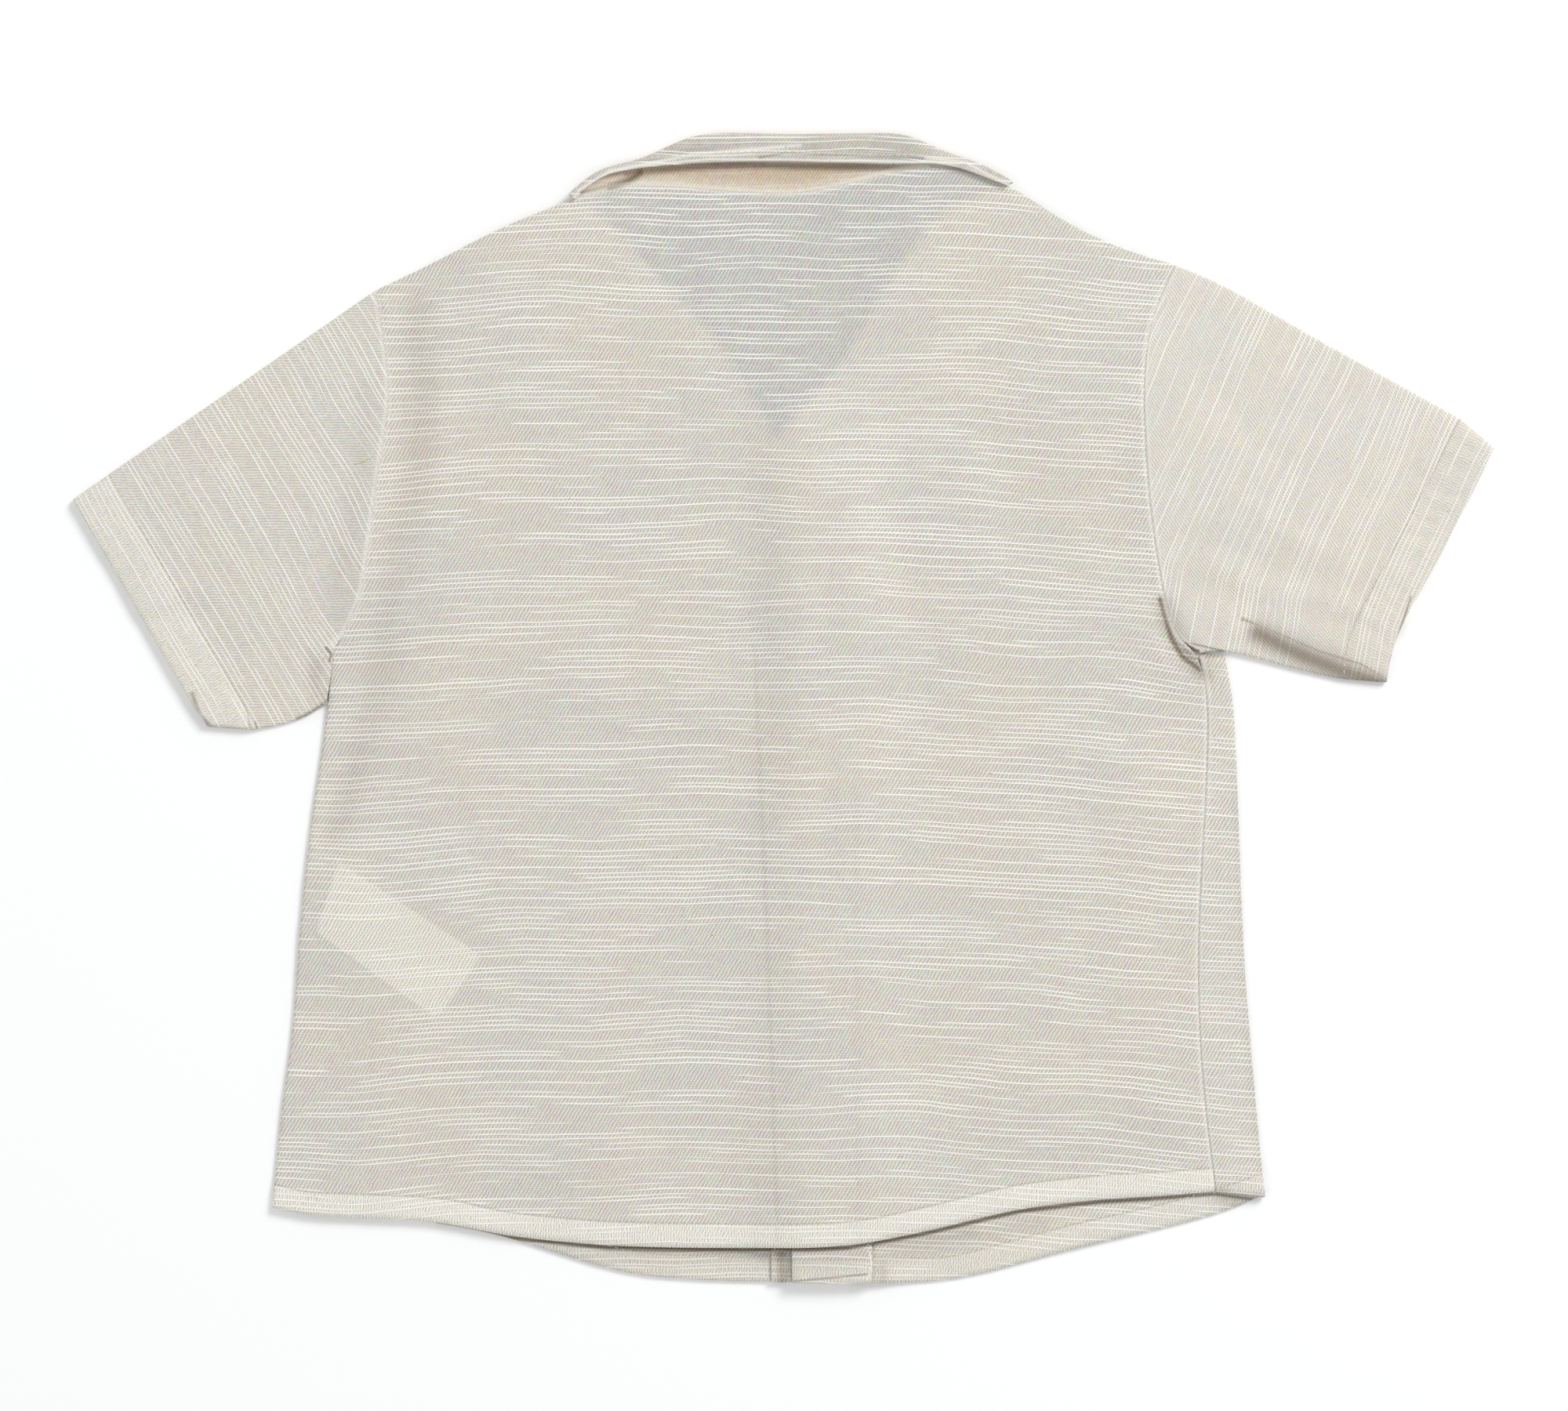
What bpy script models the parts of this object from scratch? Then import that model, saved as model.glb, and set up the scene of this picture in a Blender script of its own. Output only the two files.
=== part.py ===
"""A small child's short-sleeve shirt with a camp collar, laid flat on its front.

Run it with: blender --background --python part.py
Left and right are the wearer's. The back faces up, so the wearer's left is at -X.
+Y runs from the hem to the collar, and +Z up from the surface that the shirt lies on.
All tables and sizes are in millimetres; the meshes are in metres.
"""
import math

import bpy
import numpy as np
from mathutils import Matrix, Vector

MM = 0.001

# Cloth
CLOTH = 1.0            # one layer of the cotton, with its loft
HEM_WALL = 1.7         # a turned hem, two layers as one wall
COLLAR_EDGE = 2.0      # the collar's edge, with its turnings inside
SEAM_GAP = 0.3         # between two pieces along a seam
LAYER_GAP = 0.35       # between two layers that lie on each other
FOLD_GAP = 0.7         # inside a folded side, between its two walls

# Hems and plackets
BODY_HEM = 8.5
SLEEVE_HEM = 16.0
HEM_STEP = 2.0         # the slope from a hem down to the single cloth
FACING_COLUMNS = 2     # columns of each front's grid that its facing covers

# Loft of the layer on top
PUFF = 2.2             # how far it stands off a single layer below
PUFF_REACH = 42.0      # the distance from the outline over which it rises
NECK_REACH = 14.0      # the same at the neckline
BRIDGE = 22.0          # how far it spans beside a thicker stack, such as the plackets
BRIDGE_FALL = 0.4      # how steeply it falls away from that stack
BRIDGE_SOFT = 4.0      # how widely that slope is rounded
BLEND = 1.2            # how softly it leaves that stack

# Layers against the floor
UNDER_REACH = 10.0     # how far a lower layer spans beside what it lies on
UNDER_SOFT = 4.0       # how widely that is rounded

# How finely the panels are divided
FOLD_STEPS = 4         # segments round a folded side
SIDE_ROWS = 16         # rows up each front's side, its hem included
BACK_FOLD_ROWS = 15    # rows up the back's folded side
LEFT_EDGE_ROWS = 17    # rows from the hem to where each front's lapel turns
RIGHT_EDGE_ROWS = 19
PANEL_COLUMNS = 11     # columns of a front beside its facing
SHOULDER_PARTS = 7     # columns of the back at each shoulder, and at the neck
NECK_PARTS = 18
SLEEVE_ROWS = 10
UNDERARM_LEFT = 3      # points of each armhole below the end of its side seam
UNDERARM_RIGHT = 2
UPRIGHT = 0.88         # open edges whose normal points up at least this much are cut upright

# Buttons, face down on the centre front
BUTTON_PROFILE = [     # radius, height, from the dish in the face over the rim to the back
    (3.7, 0.5), (4.2, 0.15), (5.1, 0.0), (5.5, 0.6), (5.3, 1.6), (4.6, 2.0)]
BUTTON_SIDES = 16
BUTTON_X = 13.9
BUTTON_TOP_Y = 83.6
BUTTON_SPACING = 62.0
BUTTON_COUNT = 5

# Outlines in the plan view: x, y
SIDE_FOLD_LEFT = [     # hem to underarm
    (-186.4, -182.2), (-182.9, -146.4), (-178.9, -118.0), (-176.2, -79.3),
    (-171.6, -37.9), (-167.6, -12.0), (-166.1, 1.6)]
SIDE_FOLD_RIGHT = [    # hem to underarm
    (175.6, -178.2), (173.6, -160.4), (171.6, -138.0), (167.9, -92.0),
    (165.8, -40.0), (164.3, -4.0), (163.2, 8.1), (160.8, 18.8)]
ARMHOLE_LEFT = [       # underarm to shoulder
    (-166.1, 1.6), (-165.3, 12.1), (-164.4, 22.7), (-159.9, 27.9), (-154.4, 40.0),
    (-151.9, 55.0), (-149.9, 70.0), (-147.3, 88.5), (-144.3, 106.0), (-144.1, 120.4),
    (-146.2, 136.4), (-149.0, 151.9)]
ARMHOLE_RIGHT = [      # underarm to shoulder
    (160.2, 20.6), (151.6, 19.8), (145.2, 24.0), (141.0, 31.0), (137.8, 44.0),
    (135.2, 60.0), (133.0, 77.0), (131.8, 94.0), (131.1, 111.0), (131.6, 127.0),
    (134.4, 143.5), (142.7, 161.3)]
SIDE_SEAM_RIGHT = [    # hem to underarm, on the top side
    (157.3, -176.1), (154.4, -152.0), (152.4, -133.6), (151.0, -99.3), (151.6, -67.9),
    (153.2, -42.1), (154.2, -20.4), (154.3, 7.0), (151.6, 19.2)]
SIDE_SEAM_LEFT = [     # hem to underarm, on the underside
    (-169.9, -182.6), (-168.4, -146.0), (-168.2, -110.0), (-167.6, -79.0),
    (-164.6, -38.0), (-161.0, -8.0), (-160.0, 20.0)]
SHOULDER_LEFT = [(-149.0, 151.9), (-131.0, 160.2), (-114.1, 169.0), (-97.0, 177.2), (-75.9, 185.3)]
SHOULDER_RIGHT = [(81.3, 190.4), (91.6, 184.1), (103.0, 176.6), (114.4, 170.9), (126.5, 166.0),
                  (142.7, 161.3)]
NECKLINE = [(-75.9, 185.3), (-66.4, 188.1), (-56.5, 190.0), (-41.9, 189.9), (-19.9, 188.1),
            (0.1, 187.3), (14.1, 188.7), (26.4, 191.6), (43.9, 196.0), (55.0, 197.2),
            (67.3, 195.0), (81.3, 190.4)]
BACK_HEM = [(-186.4, -182.2), (-175.0, -184.7), (-158.4, -185.6), (-125.6, -187.2),
            (-101.3, -192.0), (-63.9, -195.6), (-14.4, -196.5), (23.9, -195.3), (51.0, -190.7),
            (85.9, -182.6), (115.3, -179.0), (133.6, -178.0), (157.3, -176.1)]
FRONT_HEM_LEFT = [(-169.9, -182.6), (-133.0, -186.7), (-112.1, -189.9), (-95.9, -194.2),
                  (-74.7, -201.2), (-58.1, -206.0), (-36.4, -208.2), (5.3, -209.3),
                  (24.7, -209.3)]
FRONT_HEM_RIGHT = [(3.0, -209.4), (31.3, -209.4), (56.4, -209.0), (68.7, -207.0),
                   (89.9, -201.3), (108.1, -196.4), (137.3, -189.8), (159.0, -184.0),
                   (175.6, -178.2)]

# The fronts' free edges, and the lines along which their lapels turn
EDGE_LEFT_X = 24.7
EDGE_RIGHT_X = 3.0
FACING_LEFT_X = -4.1    # the inner edges of their facings
FACING_RIGHT_X = 31.6
ROLL_LINE_LEFT = [(24.7, 72.0), (3.0, 96.4), (-21.9, 127.6), (-58.7, 169.9), (-74.7, 184.1)]
ROLL_LINE_RIGHT = [(3.0, 101.3), (17.6, 119.0), (55.9, 174.6), (81.3, 189.2)]

# Sleeves: folded top edge and underarm edge, both from the armhole to the hem
SLEEVE_TOP_LEFT = [(-149.0, 151.9), (-203.0, 114.6), (-258.9, 76.1)]
SLEEVE_LOW_LEFT = [(-166.1, 1.6), (-176.7, -4.4), (-191.9, -7.9), (-200.1, -8.8), (-210.4, -7.0)]
SLEEVE_HEM_LEFT = [(-210.4, -7.0), (-234.6, 34.6), (-258.9, 76.1)]
SLEEVE_TOP_RIGHT = [(142.7, 161.3), (149.3, 159.6), (196.0, 133.4), (244.4, 106.4),
                    (254.1, 100.4), (258.9, 94.7)]
SLEEVE_LOW_RIGHT = [(151.6, 19.8), (160.2, 20.6), (180.5, 15.6), (203.9, 10.2), (219.5, 9.0)]
SLEEVE_HEM_RIGHT = [(219.5, 9.0), (222.6, 24.4), (240.4, 58.0), (258.9, 94.7)]

# Collar: top of the roll and outer edge of the fall, in plan, then its roll along its length
COLLAR_TOP = [(-78.6, 186.8), (-73.4, 191.6), (-67.6, 195.9), (-52.7, 199.9), (-45.0, 203.2),
              (-36.5, 207.4), (-27.0, 209.4), (0.1, 209.2), (29.3, 209.4), (42.7, 209.4),
              (49.0, 207.4), (56.5, 203.6), (70.1, 199.0), (79.5, 194.2), (84.0, 191.2)]
COLLAR_EDGE_LINE = [(-76.6, 184.4), (-67.0, 193.0), (-52.7, 196.1), (-36.4, 197.6),
                    (-14.4, 198.6), (0.1, 198.7), (23.6, 198.1), (41.0, 197.7), (52.7, 198.6),
                    (64.1, 196.8), (75.9, 192.2), (81.6, 189.2)]
COLLAR_ROLL = [  # share of the collar's length, radius of the roll, height of the edge
    (0.00, 0.95, 1.9), (0.12, 1.3, 2.4), (0.28, 2.2, 3.7), (0.50, 2.5, 4.3),
    (0.72, 2.3, 3.8), (0.88, 1.5, 2.6), (1.00, 0.95, 1.9)]
COLLAR_STATIONS = 24
COLLAR_SINK = 0.45     # how steeply the stand goes down to the surface
COLLAR_STAND = [       # share of the stand, from the seam to the roll, and of that descent
    (0.25, 0.0), (0.65, 0.6)]
COLLAR_FALL = [        # share of the fall, from the roll to its edge, and the wall there
    (0.35, CLOTH), (0.7, 1.5), (1.0, COLLAR_EDGE)]
ROLL_LIMIT = 0.42      # the roll's radius is at most this share of the fall's depth
FALL_SLOPE = 0.2       # the fall comes down at most this steeply on average
FALL_POWER = 1.2       # and bends down towards its edge by this power
EDGE_GROWTH = 0.2      # how fast its wall may thicken towards its edge

# Turned-out pieces against the floor. Each lies along its roll line between two shares of
# that line's length; then come its corners, from the upper share's end to the lower's
FLOOR_PLY = 1.2
TURNED_OUT = [  # name, side, lower share, upper share, corners
    ("collar_leaf_left", "left", 0.735, 0.985, [(-101.5, 172.6), (-79.0, 137.0)]),
    ("collar_leaf_right", "right", 0.655, 0.985, [(106.0, 172.8), (87.5, 141.0)]),
    ("lapel_left", "left", 0.235, 0.705, [(-67.5, 131.0), (-38.0, 104.0)]),
    ("lapel_right", "right", 0.03, 0.62, [(74.0, 135.0), (45.0, 108.0)]),
]

# The blank care label between back and front: its corners, anticlockwise
CARE_LABEL = [(-170.1, -81.6), (-125.9, -113.3), (-110.1, -90.1), (-161.9, -56.1)]

# Soft folds of the layer on top: width and height, then the line that each follows
FOLDS = [
    (7.0, -2.4, [(-132.7, 146.4), (-134.1, 97.9), (-139.9, 57.9), (-143.3, 17.3)]),
    (6.0, -2.0, [(-143.3, 17.3), (-150.4, -5.9), (-156.4, -16.1), (-162.1, -34.1)]),
    (8.0, 1.3, [(-147.5, 84.0), (-150.5, 52.0), (-154.0, 24.0)]),
    (9.0, 1.0, [(-118.0, 60.0), (-124.0, 10.0), (-138.0, -36.0)]),
    (6.0, -1.4, [(140.1, 47.9), (171.6, 40.7), (228.7, 29.3)]),
    (7.0, 1.3, [(150.0, 34.5), (186.0, 28.5), (214.0, 20.5)]),
    (7.0, -1.6, [(147.0, 15.0), (134.0, -2.0), (118.0, -14.0)]),
    (8.0, 1.0, [(146.0, -8.0), (136.0, -24.0), (126.0, -56.0)]),
    (10.0, 1.6, [(-96.0, -190.0), (-20.0, -193.0), (52.0, -188.0)]),
    (6.0, -1.2, [(-168.0, 62.0), (-190.0, 40.0), (-206.0, 18.0)]),
    (8.0, -1.2, [(150.0, 128.0), (172.0, 112.0), (196.0, 92.0)]),
    (11.0, -1.3, [(62.0, 128.0), (84.0, 92.0), (92.0, 40.0)]),
]

# Raster on which the heights of the layers are kept
RASTER_STEP = 2.0
RASTER_HALF_X = 272.0
RASTER_HALF_Y = 222.0

COLOURS = {  # base colour (linear), roughness
    "cloth": ((0.69, 0.65, 0.58), 0.92),
    "label": ((0.78, 0.77, 0.74), 0.80),
    "button": ((0.72, 0.66, 0.55), 0.35),
}


def smooth_line(points, count=160):
    """A dense, evenly spaced line that passes smoothly through the points."""
    p = np.array(points, float)
    ext = np.vstack([2 * p[0] - p[1], p, 2 * p[-1] - p[-2]])
    dense = []
    for i in range(1, len(ext) - 2):
        a, b, c, d = ext[i - 1:i + 3]
        t0, t1, t2, t3 = np.cumsum([0.0] + [math.sqrt(np.linalg.norm(v - u)) + 1e-9
                                           for u, v in ((a, b), (b, c), (c, d))])
        for t in np.linspace(t1, t2, 24, endpoint=False):
            ab = (t1 - t) / (t1 - t0) * a + (t - t0) / (t1 - t0) * b
            bc = (t2 - t) / (t2 - t1) * b + (t - t1) / (t2 - t1) * c
            cd = (t3 - t) / (t3 - t2) * c + (t - t2) / (t3 - t2) * d
            abc = (t2 - t) / (t2 - t0) * ab + (t - t0) / (t2 - t0) * bc
            bcd = (t3 - t) / (t3 - t1) * bc + (t - t1) / (t3 - t1) * cd
            dense.append((t2 - t) / (t2 - t1) * abc + (t - t1) / (t2 - t1) * bcd)
    dense.append(ext[-2])
    return at_shares(np.array(dense), np.linspace(0, 1, count))


def shares_of(line):
    """How far along the line each of its points lies, from 0 to 1."""
    steps = np.linalg.norm(np.diff(line, axis=0), axis=1)
    total = np.concatenate([[0.0], np.cumsum(steps)])
    return total / total[-1]


def length_of(line):
    return float(np.linalg.norm(np.diff(line, axis=0), axis=1).sum())


def at_shares(line, shares):
    """The points at the given shares of the line's length."""
    along = shares_of(line)
    return np.stack([np.interp(shares, along, line[:, k]) for k in range(line.shape[1])], 1)


def edge_points(points, hem, rows, rounded=True):
    """Points up an edge: two for the hem, then evenly spaced ones to its end."""
    line = smooth_line(points) if rounded else np.array(points, float)
    start = (hem + HEM_STEP) / length_of(line)
    shares = [0.0, hem / length_of(line), *np.linspace(start, 1.0, rows - 2)]
    return at_shares(line, shares)


def coons(low, high, left, right):
    """A grid between four edges that share corners: rows run from low to high."""
    a = ((shares_of(low) + shares_of(high)) / 2)[None, :, None]
    b = ((shares_of(left) + shares_of(right)) / 2)[:, None, None]
    rows = (1 - b) * low[None] + b * high[None]
    columns = (1 - a) * left[:, None] + a * right[:, None]
    corners = ((1 - a) * (1 - b) * low[0] + a * (1 - b) * low[-1]
               + (1 - a) * b * high[0] + a * b * high[-1])
    return rows + columns - corners


def push(line, distance):
    """The line moved sideways in plan, to its left."""
    tangent = np.gradient(line, axis=0)
    tangent /= np.linalg.norm(tangent, axis=1)[:, None]
    return line + distance * np.stack([-tangent[:, 1], tangent[:, 0]], 1)


def bilinear(field, xy):
    """The raster's value at each plan point."""
    x = np.clip((xy[..., 0] + RASTER_HALF_X) / RASTER_STEP, 0, field.shape[1] - 1.001)
    y = np.clip((xy[..., 1] + RASTER_HALF_Y) / RASTER_STEP, 0, field.shape[0] - 1.001)
    i, j = x.astype(int), y.astype(int)
    u, v = x - i, y - j
    return ((1 - u) * (1 - v) * field[j, i] + u * (1 - v) * field[j, i + 1]
            + (1 - u) * v * field[j + 1, i] + u * v * field[j + 1, i + 1])


def shifted(field, down, across):
    moved = np.zeros_like(field)
    ny, nx = field.shape
    moved[max(down, 0):ny + min(down, 0), max(across, 0):nx + min(across, 0)] = \
        field[max(-down, 0):ny + min(-down, 0), max(-across, 0):nx + min(-across, 0)]
    return moved


def grown(field, reach, fall=0.0):
    """Each value spread over a disc of this reach, falling outwards, the highest winning."""
    cells = int(round(reach / RASTER_STEP))
    out = field.copy()
    for down in range(-cells, cells + 1):
        for across in range(-cells, cells + 1):
            away = math.hypot(down, across)
            if away <= cells:
                out = np.maximum(out, shifted(field, down, across) - fall * away * RASTER_STEP)
    return out


def softened(field, reach):
    """A running mean, along both axes and twice."""
    cells = int(round(reach / RASTER_STEP))
    for _ in range(2):
        for axis in (0, 1):
            total = sum(np.roll(field, k, axis) for k in range(-cells, cells + 1))
            field = total / (2 * cells + 1)
    return field


def cell_samples(grid, steps):
    """Points spread inside every cell of a grid, by the cell's two splits into triangles."""
    a, b, c, d = grid[:-1, :-1], grid[:-1, 1:], grid[1:, 1:], grid[1:, :-1]
    out = []
    for s in np.linspace(0, 1, steps):
        for t in np.linspace(0, 1, steps):
            one = (a * (1 - s) + b * (s - t) + c * t if s >= t
                   else a * (1 - t) + d * (t - s) + c * s)
            two = (a * (1 - s - t) + b * s + d * t if s + t <= 1
                   else c * (s + t - 1) + b * (1 - t) + d * (1 - s))
            out += [one, two]
    return np.array(out)


class Pile:
    """The heights of everything that lies on the surface so far."""

    def __init__(self):
        shape = (int(2 * RASTER_HALF_Y / RASTER_STEP) + 1, int(2 * RASTER_HALF_X / RASTER_STEP) + 1)
        self.top = np.zeros(shape)

    def add(self, grid, cells=None):
        """Lays a grid of points on the pile: its heights are the new piece's upper side."""
        points = cell_samples(grid, 10)
        if cells is not None:
            points = points[:, cells]
        points = points.reshape(-1, 3)
        i = np.round((points[:, 0] + RASTER_HALF_X) / RASTER_STEP).astype(int)
        j = np.round((points[:, 1] + RASTER_HALF_Y) / RASTER_STEP).astype(int)
        np.maximum.at(self.top, (j, i), points[:, 2])

    def needed(self):
        """How high the next layer has to lie to clear the pile."""
        return np.where(self.top > 0, self.top + LAYER_GAP, 0.0)

    def lie_on(self, plan, lofted=False):
        """Heights at a plan grid's points for a layer that clears the pile everywhere."""
        near = grown(self.needed(), RASTER_STEP)
        if lofted:
            stack = bilinear(softened(grown(near, BRIDGE, BRIDGE_FALL), BRIDGE_SOFT), plan)
            height = soft_max(stack, CLOTH + LAYER_GAP + loft(plan))
        else:
            height = bilinear(softened(grown(near, UNDER_REACH), UNDER_SOFT), plan)
        for _ in range(10):
            samples = cell_samples(np.dstack([plan, height]), 5)
            short = (bilinear(near, samples[..., :2]) - samples[..., 2]).max(0)
            short = np.where(short > 1e-6, short, 0)
            lift = np.zeros_like(height)
            for down, across in ((0, 0), (0, 1), (1, 0), (1, 1)):
                view = lift[down:down + short.shape[0], across:across + short.shape[1]]
                np.maximum(view, short, out=view)
            height = height + lift
        return height


def distance_to(line, xy):
    """The distance in plan from each point to a line, and the share along it."""
    flat = xy.reshape(-1, 2)
    best, share = np.full(len(flat), 1e9), np.zeros(len(flat))
    along = shares_of(line)
    for k in range(len(line) - 1):
        a, ab = line[k], line[k + 1] - line[k]
        t = np.clip(((flat - a) @ ab) / max(ab @ ab, 1e-9), 0, 1)
        d = np.linalg.norm(flat - a - t[:, None] * ab, axis=1)
        nearer = d < best
        best = np.where(nearer, d, best)
        share = np.where(nearer, along[k] + t * (along[k + 1] - along[k]), share)
    return best.reshape(xy.shape[:-1]), share.reshape(xy.shape[:-1])


def soft_max(a, b):
    """The higher of two heights, rounded where they cross and exact away from there."""
    blend = np.clip(0.5 + (a - b) / (2 * BLEND), 0, 1)
    return b + (a - b) * blend + BLEND * blend * (1 - blend)


def ease(t):
    t = np.clip(t, 0, 1)
    return t * t * (3 - 2 * t)


OUTLINE = np.vstack([smooth_line(line, 40) for line in (
    BACK_HEM, SIDE_FOLD_RIGHT, SLEEVE_LOW_RIGHT, SLEEVE_HEM_RIGHT, SLEEVE_TOP_RIGHT[::-1],
    SHOULDER_RIGHT[::-1])]
    + [smooth_line(line, 40) for line in (
        SHOULDER_LEFT[::-1], SLEEVE_TOP_LEFT, SLEEVE_HEM_LEFT[::-1], SLEEVE_LOW_LEFT[::-1],
        SIDE_FOLD_LEFT[::-1])])


def loft(plan):
    """How far the top layer stands off what it lies on: a soft pillow with its folds."""
    rim, _ = distance_to(OUTLINE, plan)
    neck, _ = distance_to(smooth_line(NECKLINE, 40), plan)
    height = PUFF * ease(rim / PUFF_REACH) * ease(neck / NECK_REACH)
    for width, rise, points in FOLDS:
        away, share = distance_to(smooth_line(points, 40), plan)
        ends = ease(share / 0.25) * ease((1 - share) / 0.25)
        height = height + rise * np.exp(-(away / width) ** 2) * (0.25 + 0.75 * ends)
    return np.maximum(height, 0.0)


def at_points(values, around):
    """The sum at each grid point of the values of the cells that meet there."""
    total = np.zeros((values.shape[0] + 1, values.shape[1] + 1, *values.shape[2:]))
    total[:-1, :-1] += values
    total[:-1, 1:] += values
    total[1:, 1:] += values
    total[1:, :-1] += values
    if around:
        total[:, 0] += total[:, -1]
        total = total[:, :-1]
    return total


def normals(grid, cells, around):
    """A normal at each grid point, from the cells that meet there."""
    wide = np.concatenate([grid, grid[:, :1]], 1) if around else grid
    a, b, c, d = wide[:-1, :-1], wide[:-1, 1:], wide[1:, 1:], wide[1:, :-1]
    total = at_points(np.cross(c - a, d - b) * cells[..., None], around)
    size = np.linalg.norm(total, axis=2)[..., None]
    return total / np.where(size > 0, size, 1)


def inner_side(outer, thick, cells, around=False, flip=False):
    """The grid's twin inside the wall. Open edges are cut upright, so that seams stay apart."""
    out = normals(outer, cells, around) * (-1 if flip else 1)
    edge = at_points(cells.astype(float), around) < 4
    upright = edge & (np.abs(out[..., 2]) > UPRIGHT)
    out[upright] = np.stack([np.zeros(upright.sum())] * 2 + [1 / out[upright][:, 2]], 1)
    return outer - out * np.broadcast_to(thick, outer.shape[:2])[..., None]


def wall(name, outer, thick, paint="cloth", cells=None, around=False, flip=False):
    """A closed wall: the outer grid, its twin inside, and a rim round each open edge."""
    rows, columns = outer.shape[:2]
    spans = columns if around else columns - 1
    cells = np.ones((rows - 1, spans), bool) if cells is None else cells
    inner = inner_side(outer, thick, cells, around, flip)
    number, points = {}, []
    for side, grid in enumerate((outer, inner)):
        for j, i in np.argwhere(cells):
            for key in ((j, i), (j, i + 1), (j + 1, i + 1), (j + 1, i)):
                key = (side, key[0], key[1] % columns)
                if key not in number:
                    number[key] = len(points)
                    points.append(grid[key[1], key[2]] * MM)
    faces, edges = [], set()
    for j, i in np.argwhere(cells):
        ring = [(j, i), (j, i + 1), (j + 1, i + 1), (j + 1, i)]
        ring = [(y, x % columns) for y, x in ring]
        for half in (ring[:3], [ring[0], ring[2], ring[3]]):
            faces.append([number[(0, *k)] for k in half])
            faces.append([number[(1, *k)] for k in reversed(half)])
        edges.update(zip(ring, ring[1:] + ring[:1]))
    for a, b in sorted(edges):
        if (b, a) not in edges:
            faces.append([number[(0, *b)], number[(0, *a)], number[(1, *a)], number[(1, *b)]])
    if flip:
        faces = [face[::-1] for face in faces]
    return solid(name, points, faces, paint), inner


def solid(name, points, faces, paint):
    mesh = bpy.data.meshes.new(name)
    mesh.from_pydata([tuple(float(v) for v in p) for p in points], [],
                     [[int(v) for v in f] for f in faces])
    mesh.shade_smooth()
    mesh.set_sharp_from_angle(angle=math.radians(50))
    mesh.materials.append(material(paint))
    thing = bpy.data.objects.new(name, mesh)
    bpy.context.scene.collection.objects.link(thing)
    return thing


def material(paint):
    made = bpy.data.materials.get(paint)
    if made:
        return made
    colour, rough = COLOURS[paint]
    made = bpy.data.materials.new(paint)
    made.use_nodes = True
    shader = made.node_tree.nodes["Principled BSDF"]
    shader.inputs["Base Color"].default_value = (*colour, 1)
    shader.inputs["Roughness"].default_value = rough
    shader.inputs["Metallic"].default_value = 0.0
    return made


def hem_walls(rows, columns):
    """Wall thickness of a panel whose first two rows are its hem."""
    thick = np.full((rows, columns), CLOTH)
    thick[:2] = HEM_WALL
    return thick


def fold_height(height, thick):
    """The height of a folded side, which leaves room for both its walls."""
    return np.maximum(height, 2 * thick + FOLD_GAP)


def fold_round(edge, inward, height):
    """The points round a folded side, from the floor up to the top layer's height."""
    radius = height / 2
    angles = np.linspace(-math.pi / 2, math.pi / 2, FOLD_STEPS + 1)
    ring = []
    for angle in angles:
        flat = edge + inward * (radius * (1 - math.cos(angle)))[:, None]
        ring.append(np.dstack([flat[None], (radius * (1 + math.sin(angle)))[None]])[0])
    return np.stack(ring, 1)


def unit(vectors):
    return vectors / np.linalg.norm(vectors, axis=-1)[..., None]


def square_to(edge, inside):
    """Directions at right angles to an edge line, towards the points inside it."""
    along = unit(np.gradient(edge, axis=0))
    square = np.stack([-along[:, 1], along[:, 0]], 1)
    return square * np.sign((square * (inside - edge)).sum(1))[:, None]


def fold_directions(plan, edge, beside):
    """Directions square to a grid's folded edge, kept off what lies beyond its first row."""
    inward = square_to(plan[:, edge], plan[:, beside])
    end = unit(plan[0, beside] - plan[0, edge])
    hemward = plan[1, edge] - plan[0, edge]
    if inward[0] @ (hemward - end * (hemward @ end)) < 0:
        inward[0] = end
    return inward


def quad_grid(corners, rows, columns):
    """A flat four-sided plate's plan points."""
    a, b, c, d = (np.array(p, float) for p in corners)
    t = np.linspace(0, 1, columns)[:, None]
    s = np.linspace(0, 1, rows)[:, None]
    return coons(a + t * (b - a), d + t * (c - d), a + s * (d - a), b + s * (c - b))


def turned_out(pile):
    """Collar leaves and lapels, flat against the floor under the fronts."""
    lines = {"left": smooth_line(ROLL_LINE_LEFT), "right": smooth_line(ROLL_LINE_RIGHT)}
    steps = np.linspace(0, 1, 6)
    for name, side, first, last, (far, near) in TURNED_OUT:
        rolled = at_shares(lines[side], first + (last - first) * steps)
        far, near = np.array(far), np.array(near)
        away = near + (far - near) * steps[:, None]
        low = rolled[0] + (near - rolled[0]) * steps[:, None]
        high = rolled[-1] + (far - rolled[-1]) * steps[:, None]
        plan = coons(low, high, rolled, away)
        outer = np.dstack([plan, np.zeros(plan.shape[:2])])
        _, inner = wall(name, outer, FLOOR_PLY, flip=side == "right")
        pile.add(inner)


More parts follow.
